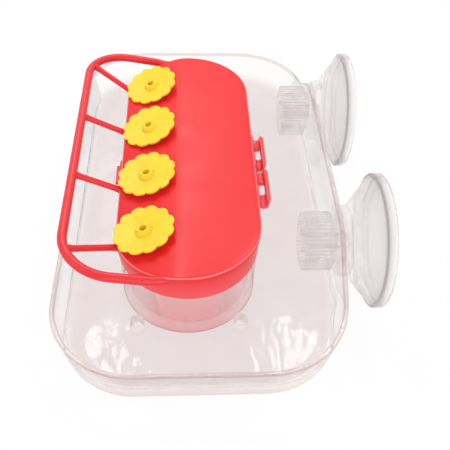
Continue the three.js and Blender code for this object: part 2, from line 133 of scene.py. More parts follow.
def refined(profile: np.ndarray, step: float) -> np.ndarray:
    """Adds points along a closed profile, evenly on each side, so that none is longer than a step.

    Args:
        profile: Corners of the profile, two numbers a row.
        step: Longest side that is left.

    Returns:
        The profile with the added points.
    """
    follower = np.roll(profile, -1, axis=0)
    counts = np.maximum(1, np.ceil(np.linalg.norm(follower - profile, axis=1) / step)).astype(int)
    side = np.repeat(np.arange(len(profile)), counts)
    place = np.arange(counts.sum()) - np.repeat(np.cumsum(counts) - counts, counts)
    share = (place / counts[side])[:, None]
    return profile[side] * (1 - share) + follower[side] * share


def around_axis(facets: int) -> np.ndarray:
    """Gives the angle of each of a number of even steps round an axis."""
    return np.arange(facets) * TAU / facets


def heading(angle: np.ndarray) -> np.ndarray:
    """Gives the direction of each angle: its cosine and sine, a row each."""
    return np.stack([np.cos(angle), np.sin(angle)], axis=-1)


def lifted(plan: np.ndarray, height: np.ndarray | float) -> np.ndarray:
    """Gives the points of a plan their height, which may be one for all of them."""
    return np.concatenate([plan, np.broadcast_to(height, plan.shape[:-1])[..., None]], axis=-1)


def rows_of(parts: Sequence[Sequence[np.ndarray | float]]) -> np.ndarray:
    """Puts the parts of a table one below another, where a column may be one number for a whole part."""
    return np.concatenate([np.stack(np.broadcast_arrays(*part), axis=-1) for part in parts])


def turned(profile: np.ndarray, facets: int, dents: np.ndarray | float = 0.0) -> np.ndarray:
    """Carries a profile of radius and height round the Z axis.

    A point at an angle lies at its radius less the dent there, times the cosine and sine of the angle.

    Args:
        profile: Radius and height, a row each.
        facets: Steps round the axis.
        dents: Depth taken off the radius, for each row and step.

    Returns:
        Rings of points, one for each row of the profile.
    """
    radius = profile[:, :1] - dents + np.zeros(facets)
    return lifted(radius[..., None] * heading(around_axis(facets)), profile[:, 1:])


def smooth(value: np.ndarray, low: float, high: float) -> np.ndarray:
    """Rises from 0 at low to 1 at high, level at both ends."""
    t = np.clip((value - low) / (high - low), 0, 1)
    return t * t * (3 - 2 * t)


@dataclass
class Sheet:
    """Points in millimetres and the faces between them."""

    points: np.ndarray
    faces: list[list[int]]

    @staticmethod
    def quads(rows: int, columns: int, loop_rows: bool, loop_columns: bool) -> np.ndarray:
        """Numbers the corners of each four-sided face of a grid.

        Args:
            rows: Rows of points.
            columns: Points in a row.
            loop_rows: Whether the last row joins the first.
            loop_columns: Whether the last point of a row joins the first.

        Returns:
            Four point numbers a face.
        """
        row = np.arange(rows if loop_rows else rows - 1)[:, None]
        column = np.arange(columns if loop_columns else columns - 1)[None, :]
        below = (row + 1) % rows * columns
        beside = (column + 1) % columns
        corners = [row * columns + column, row * columns + beside, below + beside, below + column]
        return np.stack(corners, axis=-1).reshape(-1, 4)

    @classmethod
    def around(cls, rings: np.ndarray, loop: bool = False, caps: bool = False) -> "Sheet":
        """Joins closed rings of points, one to the next.

        Args:
            rings: Rings by points by three.
            loop: Whether the last ring joins the first.
            caps: Whether a flat face closes the first and the last ring.

        Returns:
            The sheet.
        """
        count, size = rings.shape[:2]
        faces = cls.quads(count, size, loop, True).tolist()
        if caps:
            faces += [list(range(size)), list(range((count - 1) * size, count * size))]
        return cls(rings.reshape(-1, 3), faces)

    @classmethod
    def patch(cls, grid: np.ndarray) -> "Sheet":
        """Joins an open grid of points, rows by columns by three."""
        rows, columns = grid.shape[:2]
        return cls(grid.reshape(-1, 3), cls.quads(rows, columns, False, False).tolist())

    def moved(self, origin: np.ndarray, axes: np.ndarray | None = None) -> "Sheet":
        """Turns the sheet so that its own axes lie along the rows of axes, and puts its origin at a place.

        Args:
            origin: Where the sheet's origin goes.
            axes: Directions of the sheet's X, Y and Z, a row each.

        Returns:
            The sheet in its new place.
        """
        turned_points = self.points if axes is None else self.points @ axes
        return Sheet(turned_points + np.asarray(origin), self.faces)


def drawn_along_y(profile: np.ndarray, near: float, far: float) -> Sheet:
    """Carries a profile of X and Z straight along Y from near to far, with a flat face at each end.

    Args:
        profile: X and Z, a row each.
        near: Where it starts.
        far: Where it ends.

    Returns:
        A closed sheet.
    """
    ends = np.array([near, far])[:, None] + np.zeros(len(profile))
    across = np.broadcast_to(profile[:, 0], ends.shape)
    up = np.broadcast_to(profile[:, 1], ends.shape)
    return Sheet.around(np.stack([across, ends, up], axis=-1), caps=True)


def rod(path: np.ndarray, radius: np.ndarray, sides: int) -> Sheet:
    """Carries a circle along a path, square to it, with a radius for each point.

    A section's points lie at the path's point plus the radius times the cosine of the angle along the
    sideways direction and its sine along the direction square to that and to the path.

    Args:
        path: Points along the rod.
        radius: Radius at each point.
        sides: Points round a section.

    Returns:
        A closed sheet.
    """
    along = np.gradient(path, axis=0)
    along /= np.linalg.norm(along, axis=1, keepdims=True)
    sideways = np.cross(along, np.array([0.0, 0.0, 1.0]))
    sideways /= np.linalg.norm(sideways, axis=1, keepdims=True)
    upright = np.cross(sideways, along)
    angle = around_axis(sides)[None, :, None]
    section = np.cos(angle) * sideways[:, None] + np.sin(angle) * upright[:, None]
    return Sheet.around(path[:, None] + radius[:, None, None] * section, caps=True)


@dataclass(frozen=True)
class Outline:
    """A plan with straight sides and half-round ends, shared by the reservoir and the lid.

    Columns run across the plan, at X equal to the half width times the sine of a column's angle. Rows run
    along it, at shares of the length that the plan has in each column.
    """

    angles: np.ndarray = field(default_factory=lambda: np.radians(np.linspace(-90, 90, PLAN_STEPS)))
    shares: np.ndarray = field(default_factory=lambda: np.linspace(-1, 1, PLAN_STEPS))
    run: float = RESERVOIR_RUN

    def columns(self, half_width: float) -> tuple[np.ndarray, np.ndarray]:
        """Gives the X of each column, and how far the plan reaches along it from the middle."""
        return half_width * np.sin(self.angles), self.run + half_width * np.cos(self.angles)

    def loop(self, half_width: float) -> np.ndarray:
        """Walks round the edge: far arc, left side, near arc, right side.

        Args:
            half_width: Half the width of the plan.

        Returns:
            X and Y of each point.
        """
        across, reach = self.columns(half_width)
        along = self.shares[1:-1] * self.run
        side = np.full(len(along), half_width)
        x = np.concatenate([across[::-1], -side, across, side])
        y = np.concatenate([reach[::-1], along[::-1], -reach, along])
        return np.stack([x, y], axis=-1)

    def grid(self, half_width: float) -> np.ndarray:
        """Covers the plan.

        Args:
            half_width: Half the width of the plan.

        Returns:
            X and Y of each point, rows by columns by two.
        """
        across, reach = self.columns(half_width)
        y = self.shares[:, None] * reach[None, :]
        return np.stack([np.broadcast_to(across, y.shape), y], axis=-1)

    def edge_reach(self, x: np.ndarray, y: np.ndarray) -> np.ndarray:
        """Gives the half width of the plan whose edge runs through each place."""
        return np.hypot(x, np.maximum(np.abs(y) - self.run, 0))


def make_piece(name: str, sheets: Sequence[Sheet]) -> Piece:
    """Puts sheets into one mesh in metres, closes their seams and poles and turns the faces outwards.

    Args:
        name: Name of the piece.
        sheets: Sheets that close one another.

    Returns:
        The piece, at the origin.
    """
    starts = np.cumsum([0] + [len(sheet.points) for sheet in sheets]).tolist()
    points = np.vstack([sheet.points for sheet in sheets]) * MM
    faces = [[start + i for i in face] for sheet, start in zip(sheets, starts) for face in sheet.faces]
    mesh = bpy.data.meshes.new(name)
    mesh.from_pydata(points.tolist(), [], faces)
    shell = bmesh.new()
    shell.from_mesh(mesh)
    bmesh.ops.remove_doubles(shell, verts=shell.verts, dist=WELD)
    bmesh.ops.recalc_face_normals(shell, faces=shell.faces)
    shell.to_mesh(mesh)
    shell.free()
    piece = bpy.data.objects.new(name, mesh)
    bpy.context.scene.collection.objects.link(piece)
    return piece


def turned_piece(
    name: str,
    profile: np.ndarray,
    origin: np.ndarray,
    axes: np.ndarray | None = None,
    facets: int = SMALL_FACETS,
) -> Piece:
    """Makes a solid by turning a profile about its axis.

    Args:
        name: Name of the solid.
        profile: Radius and height, a row each.
        origin: Where the axis starts.
        axes: Directions of the solid's X, Y and Z, a row each.
        facets: Steps round the axis.

    Returns:
        The solid.
    """
    return make_piece(name, [Sheet.around(turned(profile, facets)).moved(origin, axes)])


def settle(piece: Piece) -> None:
    """Makes a piece's modifiers part of its mesh.

    Args:
        piece: The piece.
    """
    done = piece.evaluated_get(bpy.context.evaluated_depsgraph_get())
    mesh = bpy.data.meshes.new_from_object(done)
    piece.modifiers.clear()
    old = piece.data
    piece.data = mesh
    bpy.data.meshes.remove(old)


def combine(piece: Piece, tools: Sequence[Piece], joining: Joining) -> None:
    """Adds solids to a piece or cuts them out of it, and removes them.

    Args:
        piece: The piece that changes.
        tools: The solids.
        joining: Whether they are added or cut out.
    """
    for tool in tools:
        step = piece.modifiers.new("joining", "BOOLEAN")
        step.operation = joining.value
        step.solver = "EXACT"
        step.object = tool
        settle(piece)
        bpy.data.objects.remove(tool)


def soften(piece: Piece, width: float) -> None:
    """Rounds a solid's sharp edges.

    Args:
        piece: The solid.
        width: How wide the rounding is, in millimetres.
    """
    bevel = piece.modifiers.new("edges", "BEVEL")
    bevel.width = width * MM
    bevel.segments = SOFT_SEGMENTS
    bevel.limit_method = "ANGLE"
    bevel.angle_limit = SOFT_ANGLE
    settle(piece)


def points_of(piece: Piece) -> np.ndarray:
    """Reads the points of a piece.

    Args:
        piece: The piece.

    Returns:
        The points in millimetres, three numbers a row.
    """
    places = np.empty(3 * len(piece.data.vertices), np.float32)
    piece.data.vertices.foreach_get("co", places)
    return places.reshape(-1, 3) / MM


# Finishes

# Scale, detail and distortion of each noise, and the range of a noise that is put to use.
# A scale counts per metre, but for the swells, whose place is already counted in waves.
GLOSS_PATCHES = (90.0, 3.0)
MOULD_SWELLS = (1.0, 1.0)
FINE_GRAIN = (2600.0, 2.0)
FLOW_MARKS = (45.0, 4.0, 0.6)
NOISE_RANGE = (0.3, 0.7)

# Numbers of the colour sockets of a mix node
MIX_SHARE, MIX_FIRST, MIX_SECOND, MIX_RESULT = 0, 6, 7, 2

# How an edge colour gathers towards grazing angles, and how solid a line is in clear plastic
GRAZING_BLEND = 0.3
GRAZING_POWER = 2.5
LINE_BODY = 0.85


class Mark(Enum):
    """Attributes that say, from 0 to 1, where a plastic shows another of its colours, which mostly paint
    light and shade onto it.
    """

    SECOND = "second"
    LINE = "line"

    def put(self, piece: Piece, share: np.ndarray) -> None:
        """Notes at each point of a piece how much of the colour shows."""
        mask = piece.data.attributes.new(self.value, "FLOAT", "POINT")
        mask.data.foreach_set("value", share.ravel().astype(np.float32))

    def read(self, tree: Tree) -> Socket:
        """Adds a node to a material that reads the attribute.

        Args:
            tree: The material's nodes.

        Returns:
            The socket with the share.
        """
        node = tree.nodes.new("ShaderNodeAttribute")
        node.attribute_name = self.value
        return node.outputs["Fac"]


def feed(tree: Tree, socket: Socket, source: Source) -> None:
    """Links a socket to another node's socket, or sets it to a plain value.

    Args:
        tree: Where the socket is.
        socket: What is fed.
        source: What feeds it.
    """
    if isinstance(source, Socket):
        tree.links.new(source, socket)
    else:
        socket.default_value = source


def feed_all(tree: Tree, node: bpy.types.Node, sources: dict[str, Source]) -> None:
    """Feeds inputs of a node, by their names."""
    for title, source in sources.items():
        feed(tree, node.inputs[title], source)


def worked_out(tree: Tree, operation: str, *terms: Source) -> Socket:
    """Adds a math node.

    Args:
        tree: Where it goes.
        operation: What it does with its terms.
        terms: Sockets or plain numbers, in the node's own order.

    Returns:
        The socket with the result.
    """
    node = tree.nodes.new("ShaderNodeMath")
    node.operation = operation
    for socket, term in zip(node.inputs, terms):
        feed(tree, socket, term)
    return node.outputs[0]


def mixed(tree: Tree, share: Source, first: Source, second: Source) -> Socket:
    """Lays a second colour over a first.

    Args:
        tree: Where the mix goes.
        share: How much of the second colour shows.
        first: The first colour.
        second: The second colour.

    Returns:
        The socket with the mixed colour.
    """
    node = tree.nodes.new("ShaderNodeMix")
    node.data_type = "RGBA"
    for number, source in ((MIX_SHARE, share), (MIX_FIRST, first), (MIX_SECOND, second)):
        feed(tree, node.inputs[number], source)
    return node.outputs[MIX_RESULT]


def noise(tree: Tree, place: Socket, scale: float, detail: float, distortion: float = 0.0) -> Socket:
    """Adds a noise texture.

    Args:
        tree: Where it goes.
        place: The socket with the place to look up.
        scale: Swells per metre.
        detail: How many finer noises it holds.
        distortion: How much it is stirred.

    Returns:
        The socket with the noise, from 0 to 1.
    """
    node = tree.nodes.new("ShaderNodeTexNoise")
    feed_all(tree, node, {"Vector": place, "Scale": scale, "Detail": detail, "Distortion": distortion})
    return node.outputs["Fac"]


def spread(tree: Tree, value: Socket, low: Source, high: Source) -> Socket:
    """Spreads the range of a noise that is put to use between two limits.

    Args:
        tree: Where the node goes.
        value: The noise.
        low: The lower limit.
        high: The upper limit.

    Returns:
        The socket with the spread noise.
    """
    node = tree.nodes.new("ShaderNodeMapRange")
    least, most = NOISE_RANGE
    limits = {"From Min": least, "From Max": most, "To Min": low, "To Max": high}
    feed_all(tree, node, {"Value": value, **limits})
    return node.outputs["Result"]


def new_group(name: str, inputs: dict[str, str], outputs: dict[str, str]) -> Tree:
    """Starts a shader node group with named sockets.

    Args:
        name: Name of the group.
        inputs: Socket type of each input.
        outputs: Socket type of each output.

    Returns:
        The group, with its input and output nodes.
    """
    group = bpy.data.node_groups.new(name, "ShaderNodeTree")
    for in_out, sockets in (("INPUT", inputs), ("OUTPUT", outputs)):
        for title, kind in sockets.items():
            group.interface.new_socket(title, in_out=in_out, socket_type=kind)
    group.nodes.new("NodeGroupInput").name = "in"
    group.nodes.new("NodeGroupOutput").name = "out"
    return group


def mould_skin() -> Tree:
    """Builds the skin of moulded plastic: gloss that drifts, and the faint swells and grain of a mould.

    The height is the swells plus the grain's noise times its strength.

    Returns:
        A group that puts out a roughness between its two limits and a height.
    """
    group = new_group(
        "mould_skin",
        {
            "Vector": "NodeSocketVector",
            "Waves": "NodeSocketVector",
            "Glossiest": "NodeSocketFloat",
            "Dullest": "NodeSocketFloat",
            "Grain": "NodeSocketFloat",
        },
        {"Roughness": "NodeSocketFloat", "Height": "NodeSocketFloat"},
    )
    given, put_out, link = group.nodes["in"].outputs, group.nodes["out"].inputs, group.links.new
    stretch = group.nodes.new("ShaderNodeVectorMath")
    stretch.operation = "MULTIPLY"
    link(given["Vector"], stretch.inputs[0])
    link(given["Waves"], stretch.inputs[1])
    patches = noise(group, given["Vector"], *GLOSS_PATCHES)
    swells = noise(group, stretch.outputs[0], *MOULD_SWELLS)
    grain = noise(group, given["Vector"], *FINE_GRAIN)
    link(spread(group, patches, given["Glossiest"], given["Dullest"]), put_out["Roughness"])
    link(worked_out(group, "MULTIPLY_ADD", grain, given["Grain"], swells), put_out["Height"])
    return group


def tone_drift() -> Tree:
    """Builds the drift of a moulded colour between two shades, in soft flow marks.

    Returns:
        A group that puts out a colour.
    """
    group = new_group(
        "tone_drift",
        {"Vector": "NodeSocketVector", "Light": "NodeSocketColor", "Deep": "NodeSocketColor"},
        {"Colour": "NodeSocketColor"},
    )
    given, put_out = group.nodes["in"].outputs, group.nodes["out"].inputs
    share = spread(group, noise(group, given["Vector"], *FLOW_MARKS), 0.0, 1.0)
    group.links.new(mixed(group, share, given["Light"], given["Deep"]), put_out["Colour"])
    return group


def linear(colour: Colour) -> tuple[float, float, float, float]:
    """Turns a screen colour into linear light.

    A share of the full colour up to 0.04045 is divided by 12.92. A larger one is raised by 0.055, divided by
    1.055 and taken to the power of 2.4.

    Args:
        colour: Red, green and blue, from 0 to 255.

    Returns:
        Red, green and blue from 0 to 1, and a full alpha.
    """
    share = np.array(colour) / 255
    light = np.where(share <= 0.04045, share / 12.92, ((share + 0.055) / 1.055) ** 2.4)
    return (*light.tolist(), 1.0)


@dataclass(frozen=True)
class Finish:
    """A moulded plastic, with its two shades, its gloss and what it lets through.

    A clear plastic has an edge colour, which shows where it is seen along its surface, a body, the share of
    the light that it bends and tints, while the rest passes straight on, and a haze, which makes it milky.
    A second colour shows where a piece is marked for it: painted light coming through the lid's skirt and
    in a flower's feeding hole, and the pale walls of the tray and the reservoir, above floors whose own
    colour is painted shade and painted red light from the lid. A line colour is painted shade along the
    edges, joints and flute valleys of clear pieces, and a painted highlight along the lid's lip. The relief
    of its skin is in millimetres, its waves are counted per metre along each axis, and the calm is the share
    of the relief that is lost where the second colour shows. The soft light is the share that wanders under
    the surface, as far as the soft depth in red, green and blue, times the soft scale in millimetres.
    """

    name: str
    light: Colour
    deep: Colour
    glossiest: float
    dullest: float
    relief: float
    grain: float = 0.12
    waves: tuple[float, float, float] = (160.0, 160.0, 160.0)
    edge: Colour | None = None
    second: Colour | None = None
    line: Colour | None = None
    body: float = 1.0
    haze: float = 0.0
    refraction: float = 1.49
    gloss: float = 0.5
    calm: float = 0.0
    soft_light: float = 0.0
    soft_depth: Colour = (1.0, 0.3, 0.2)
    soft_scale: float = 1.2

    def coloured(self, tree: Tree, colour: Socket) -> Socket:
        """Lays the second, line and edge colours over a plastic's own: the second and line colours are mostly
        painted light and shade.

        Args:
            tree: The material's nodes.
            colour: The plastic's own colour.

        Returns:
            The socket with the colour of the surface.
        """
        for mark, other in ((Mark.SECOND, self.second), (Mark.LINE, self.line)):
            if other:
                colour = mixed(tree, mark.read(tree), colour, linear(other))
        if self.edge:
            grazing = tree.nodes.new("ShaderNodeLayerWeight")
            grazing.inputs["Blend"].default_value = GRAZING_BLEND
            narrowed = worked_out(tree, "POWER", grazing.outputs["Facing"], GRAZING_POWER)
            colour = mixed(tree, narrowed, colour, linear(self.edge))
        return colour

    def calmed(self, tree: Tree, height: Socket) -> Socket:
        """Lowers the skin where the second colour shows: the height times one less the calm times the mark.

        Args:
            tree: The material's nodes.
            height: The height of the skin.

        Returns:
            The socket with the lowered height.
        """
        if not self.calm:
            return height
        left = worked_out(tree, "MULTIPLY_ADD", Mark.SECOND.read(tree), -self.calm, 1.0)
        return worked_out(tree, "MULTIPLY", left, height)

    def material(self, groups: dict[str, Tree]) -> Material:
        """Makes the material.

        A clear plastic's alpha is its body, and rises to that of a line by the line's mark.

        Args:
            groups: The shared node groups, by name.

        Returns:
            The material.
        """
        material = bpy.data.materials.new(self.name)
        material.use_nodes = True
        tree = material.node_tree
        tone, skin = tree.nodes.new("ShaderNodeGroup"), tree.nodes.new("ShaderNodeGroup")
        tone.node_tree, skin.node_tree = groups["tone_drift"], groups["mould_skin"]
        relief = tree.nodes.new("ShaderNodeBump")
        place = tree.nodes.new("ShaderNodeTexCoord").outputs["Object"]
        alpha = self.body
        if self.edge and self.line:
            alpha = worked_out(tree, "MULTIPLY_ADD", Mark.LINE.read(tree), LINE_BODY - self.body, self.body)
        settings = {
            tone: {"Vector": place, "Light": linear(self.light), "Deep": linear(self.deep)},
            skin: {
                "Vector": place,
                "Waves": self.waves,
                "Glossiest": self.glossiest,
                "Dullest": self.dullest,
                "Grain": self.grain,
            },
            relief: {"Distance": self.relief * MM, "Height": self.calmed(tree, skin.outputs["Height"])},
            tree.nodes["Principled BSDF"]: {
                "Base Color": self.coloured(tree, tone.outputs["Colour"]),
                "Roughness": skin.outputs["Roughness"],
                "Normal": relief.outputs["Normal"],
                "Alpha": alpha,
                "IOR": self.refraction,
                "Specular IOR Level": self.gloss,
                "Transmission Weight": 1.0 - self.haze if self.edge else 0.0,
                "Subsurface Weight": self.soft_light,
                "Subsurface Radius": self.soft_depth,
                "Subsurface Scale": self.soft_scale * MM,
            },
        }
        for node, sources in settings.items():
            feed_all(tree, node, sources)
        return material


class Stock(Enum):
    """The plastics that the feeder is moulded from."""

    # Tray: its own pinkish grey, which stays on the floor, is painted shade and painted red reflection from
    # the lid; the second colour is the pale of its walls, and the line colour paints shade along the rim's
    # edges and the foot.
    TRAY = Finish(
        "clear_tray",
        light=(221, 206, 204),
        deep=(215, 198, 196),
        glossiest=0.03,
        dullest=0.08,
        relief=0.22,
        grain=0.003,
        waves=(210.0, 110.0, 60.0),
        edge=(196, 172, 171),
        second=(254, 252, 251),
        line=(226, 200, 200),
        body=0.5,
        refraction=1.18,
        gloss=1.0,
        calm=0.85,
    )
    # Reservoir: its own pink, which stays on the floor and down the middle, is painted red light from the
    # lid; the second colour is the pale of its walls and sides, and the line colour paints shade along the
    # foot's edge.
    RESERVOIR = Finish(
        "clear_reservoir",
        light=(255, 104, 108),
        deep=(254, 96, 100),
        glossiest=0.03,
        dullest=0.08,
        relief=0.08,
        grain=0.02,
        edge=(206, 164, 164),
        second=(255, 247, 246),
        line=(194, 120, 122),
        body=0.34,
        refraction=1.12,
    )
    # Fitting: the line colour paints shade down the nuts' flute valleys.
    FITTING = Finish(
        "clear_fitting",
        light=(253, 251, 251),
        deep=(251, 248, 248),
        glossiest=0.05,
        dullest=0.1,
        relief=0.03,
        grain=0.05,
        edge=(216, 205, 206),
        line=(196, 184, 187),
        body=0.5,
        haze=0.1,
        refraction=1.25,
    )
    # Cup: the line colour paints a ring of shade where the cone meets the rim flange.
    CUP = Finish(
        "soft_clear_cup",
        light=(254, 252, 250),
        deep=(252, 249, 247),
        glossiest=0.08,
        dullest=0.14,
        relief=0.1,
        grain=0.03,
        edge=(226, 219, 218),
        line=(112, 95, 106),
        body=0.55,
        haze=0.25,
        refraction=1.1,
        gloss=1.0,
    )
    # Lid: the second colour paints light showing through the skirt, paler towards its foot, and the line
    # colour paints a highlight along the lip's top edge.
    LID = Finish(
        "red_lid",
        light=(242, 44, 48),
        deep=(239, 41, 46),
        glossiest=0.28,
        dullest=0.36,
        relief=0.01,
        second=(246, 88, 94),
        line=(255, 136, 138),
        gloss=0.26,
        soft_light=0.15,
    )
    PERCH = Finish(
        "red_perch",
        light=(236, 44, 54),
        deep=(231, 40, 50),
        glossiest=0.3,
        dullest=0.4,
        relief=0.01,
        gloss=0.45,
        soft_light=0.15,
    )
    # Flower: the second colour paints light inside the feeding hole, lighter than its shade would be.
    FLOWER = Finish(
        "yellow_flower",
        light=(249, 223, 56),
        deep=(246, 216, 46),
        glossiest=0.34,
        dullest=0.5,
        relief=0.012,
        second=(255, 222, 70),
        gloss=0.4,
        soft_light=0.5,
        soft_depth=(1.6, 1.1, 0.2),
    )


@dataclass
class Workshop:
    """Keeps the materials, and gives each finished piece its finish and body."""

    groups: dict[str, Tree] = field(default_factory=dict)
    materials: dict[Stock, Material] = field(default_factory=dict)

    def stock(self, stock: Stock) -> Material:
        """Gives the material of a stock, made once.

        Args:
            stock: The plastic.

        Returns:
            Its material.
        """
        if not self.groups:
            self.groups = {"mould_skin": mould_skin(), "tone_drift": tone_drift()}
        if stock not in self.materials:
            self.materials[stock] = stock.value.material(self.groups)
        return self.materials[stock]

    def dress(
        self,
        piece: Piece,
        stock: Stock,
        body: str,
        nodes: Sequence[str],
        slot: str,
        crease: float = 35.0,
    ) -> None:
        """Finishes a piece and lets it stand for its nodes.

        Args:
            piece: The piece.
            stock: What it is moulded from.
            body: The body that it moves with.
            nodes: The nodes that it stands for.
            slot: Not used.
            crease: Edges that turn by more degrees than this stay sharp.
        """
        mesh = piece.data
        mesh.polygons.foreach_set("use_smooth", np.ones(len(mesh.polygons), bool))
        mesh.set_sharp_from_angle(angle=math.radians(crease))
        mesh.materials.clear()
        mesh.materials.append(self.stock(stock))
        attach(piece, body)
        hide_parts(*nodes)
        LOG.info("%s: %d faces, on body %s", piece.name, len(mesh.polygons), body)


# Places

TOWARDS_WINDOW = np.array([[0.0, 0.0, -1.0], [0.0, 1.0, 0.0], [1.0, 0.0, 0.0]])
ALONG_TRAY = np.array([[1.0, 0.0, 0.0], [0.0, 0.0, -1.0], [0.0, 1.0, 0.0]])


def slope_axes(slope: float) -> np.ndarray:
    """Gives axes whose Z leans away from the window by a slope."""
    c, s = math.cos(slope), math.sin(slope)
    return np.array([[c, 0.0, s], [0.0, 1.0, 0.0], [-s, 0.0, c]])


def span(node: str) -> tuple[np.ndarray, np.ndarray]:
    """Gives a node's lowest and highest corners in millimetres."""
    low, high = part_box(node)
    return np.array(low) / MM, np.array(high) / MM


def middle_of(node: str) -> np.ndarray:
    """Gives the middle of a node's box in millimetres."""
    return np.mean(span(node), axis=0)


@dataclass(frozen=True)
class Places:
    """Where the frame puts what the pieces share, in millimetres."""

    tray_foot: np.ndarray
    tray_half: np.ndarray
    wall_top: float
    seat: np.ndarray
    flowers: np.ndarray
    cups: tuple[np.ndarray, ...]

    @classmethod
    def from_frame(cls) -> "Places":
        """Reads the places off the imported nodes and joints.

        Returns:
            The places.
        """
        joints = {joint["name"]: joint for joint in frame["joints"]}
        low, high = span("tray")
        seat_x = joints["lid_hinge"]["pos_m"][0] / MM - RESERVOIR_SIDE - HINGE_REACH
        return cls(
            tray_foot=np.array([*middle_of("tray")[:2], low[2]]),
            tray_half=(high - low)[:2] / 2,
            wall_top=high[2] - low[2],
            seat=np.array([seat_x, middle_of("reservoir")[1], span("reservoir")[0][2]]),
            flowers=np.array([middle_of(f"flower_{i}")[1] for i in range(1, 5)]),
            cups=tuple(np.array([high[0], *middle_of(f"suction_cup_{i}")[1:]]) for i in (1, 2)),
        )


# Sub-assemblies


@dataclass
class Tray:
    """The clear tray, with its raised wall on the window side, locating posts and stud holes."""

    places: Places
    corner: float = 36.0
    rim: float = 20.0
    lean: float = 3.4
    wall: float = 2.2
    floor: float = 2.2
    foot_round: float = 0.8
    foot_line: float = 0.3
    rim_round: float = 0.7
    cove: float = 5.5
    raised_to: float = 87.0
    shoulder: float = 40.0
    upright_to: float = 79.5
    upright_turn: float = 18.0
    hole: float = 6.6
    hole_reach: tuple[float, float] = (-4.0, 1.0)
    post: float = 6.0
    post_height: float = 8.0
    post_flare: float = 0.5
    post_gap: float = 2.5
    post_angle: float = math.radians(38.5)
    corner_steps: int = 31
    long_steps: int = 121
    short_steps: int = 15
    wall_steps: tuple[float, ...] = (0.06, 0.2, 0.4, 0.6, 0.8, 0.94)

    def stations(self) -> tuple[np.ndarray, np.ndarray, np.ndarray, np.ndarray]:
        """Walks round the rim: window side, then corner and side in turn.

        A station lies a corner's radius out from the line that joins the corners' middles, along its facing.
        The raised wall's height above the rim falls smoothly over each shoulder, level at both of its ends.

        Returns:
            Place and facing of each station, height of the wall's top there, and how upright the wall stands.
        """
        x, y = self.places.tray_half - self.corner
        bend = np.linspace(0, QUARTER, self.corner_steps)
        long_side = np.linspace(-y, y, self.long_steps)[1:-1]
        short_side = np.linspace(x, -x, self.short_steps)[1:-1]
        walk = (
            (x, long_side, 0.0),
            (x, y, bend),
            (short_side, y, QUARTER),
            (-x, y, QUARTER + bend),
            (-x, -long_side, 2 * QUARTER),
            (-x, -y, 2 * QUARTER + bend),
            (-short_side, -y, 3 * QUARTER),
            (x, -y, 3 * QUARTER + bend),
        )
        stations = rows_of(walk)
        facing = heading(stations[:, 2])
        place = stations[:, :2] + self.corner * facing
        along = np.where(place[:, 0] > 0, np.abs(place[:, 1]), math.inf)
        fall = smooth(along, self.raised_to - self.shoulder, self.raised_to)
        top = self.rim + (self.places.wall_top - self.rim) * (1 - fall)
        return place, facing, top, 1 - smooth(along, self.upright_to - self.upright_turn, self.upright_to)

    def section(self) -> np.ndarray:
        """Draws the wall's section: foot, outside, outer rim, top, inner rim, inside and cove.

        Returns:
            A row for each point: its depth in the wall, a height of its own, the share of the wall's height
            below the rim's rounding that comes on top of it, and how much of the line colour shows.
        """
        bend = np.linspace(0, QUARTER, ROUND_STEPS)
        sin, cos = np.sin(bend), np.cos(bend)
        sweep = np.linspace(0, QUARTER, 2 * ROUND_STEPS)
        climb = np.array(self.wall_steps)
        inside = self.wall + self.cove * (1 - np.cos(sweep))
        parts = (
            (self.foot_round * (1 - sin), self.foot_round * (1 - cos), 0.0, self.foot_line),
            (0.0, self.foot_round * (1 - climb), climb, 0.0),
            (self.rim_round * (1 - cos), self.rim_round * sin, 1.0, 1.0),
            ([self.wall / 2], self.rim_round, 1.0, 0.0),
            (self.wall - self.rim_round * (1 - sin), self.rim_round * cos, 1.0, 1.0),
            (self.wall, (self.floor + self.cove) * climb, 1 - climb, 0.0),
            (inside, self.floor + self.cove * (1 - np.sin(sweep)), 0.0, 0.0),
        )
        return rows_of(parts)

    def shell(self) -> tuple[Sheet, np.ndarray]:
        """Carries the wall's section round the rim, and closes it with the floor.

        A point lies inside its station by its depth in the wall plus the lean, which shrinks to nothing at
        the rim.

        Returns:
            The closed shell, and how much of the line colour shows at each of its points.
        """
        place, facing, top, upright = self.stations()
        depth, own_height, share, line = (column[:, None] for column in self.section().T)
        height = own_height + share * (top - self.rim_round)
        lean = (1 - upright) * self.lean * np.maximum(0, 1 - height / self.rim)
        plan = place - facing * (depth + lean)[..., None]
        return Sheet.around(lifted(plan, height), caps=True), np.repeat(line, len(place))

    def posts(self) -> list[Piece]:
        """Makes the four posts that keep the reservoir in its place.

        Returns:
            The solids.
        """
        radius, top = self.post / 2, self.floor + self.post_height
        root = radius + self.post_flare
        profile = rounded(
            [
                (0, self.floor - 1, 0),
                (root, self.floor - 1, 0),
                (root, self.floor - 0.1, 0),
                (radius, self.floor + 0.6, 0.3),
                (radius, top, 1.4),
                (0, top, 0),
            ]
        )
        seat_x, seat_y, _ = self.places.seat
        orbit = RESERVOIR_SIDE + self.post_gap + radius
        across = orbit * math.sin(self.post_angle)
        along = RESERVOIR_RUN + orbit * math.cos(self.post_angle)
        return [
            turned_piece("post", profile, np.array([seat_x + x, seat_y + y, self.places.tray_foot[2]]))
            for x in (-across, across)
            for y in (-along, along)
        ]

    def build(self) -> Piece:
        """Makes the tray with its posts and stud holes, marks painted shade along its rim's edges and foot,
        and marks all that is above its floor pale, which leaves the floor's tint as painted shade and red
        reflection.

        Returns:
            The piece.
        """
        foot = self.places.tray_foot
        shell, line = self.shell()
        tray = make_piece("tray_shell", [shell.moved(foot)])
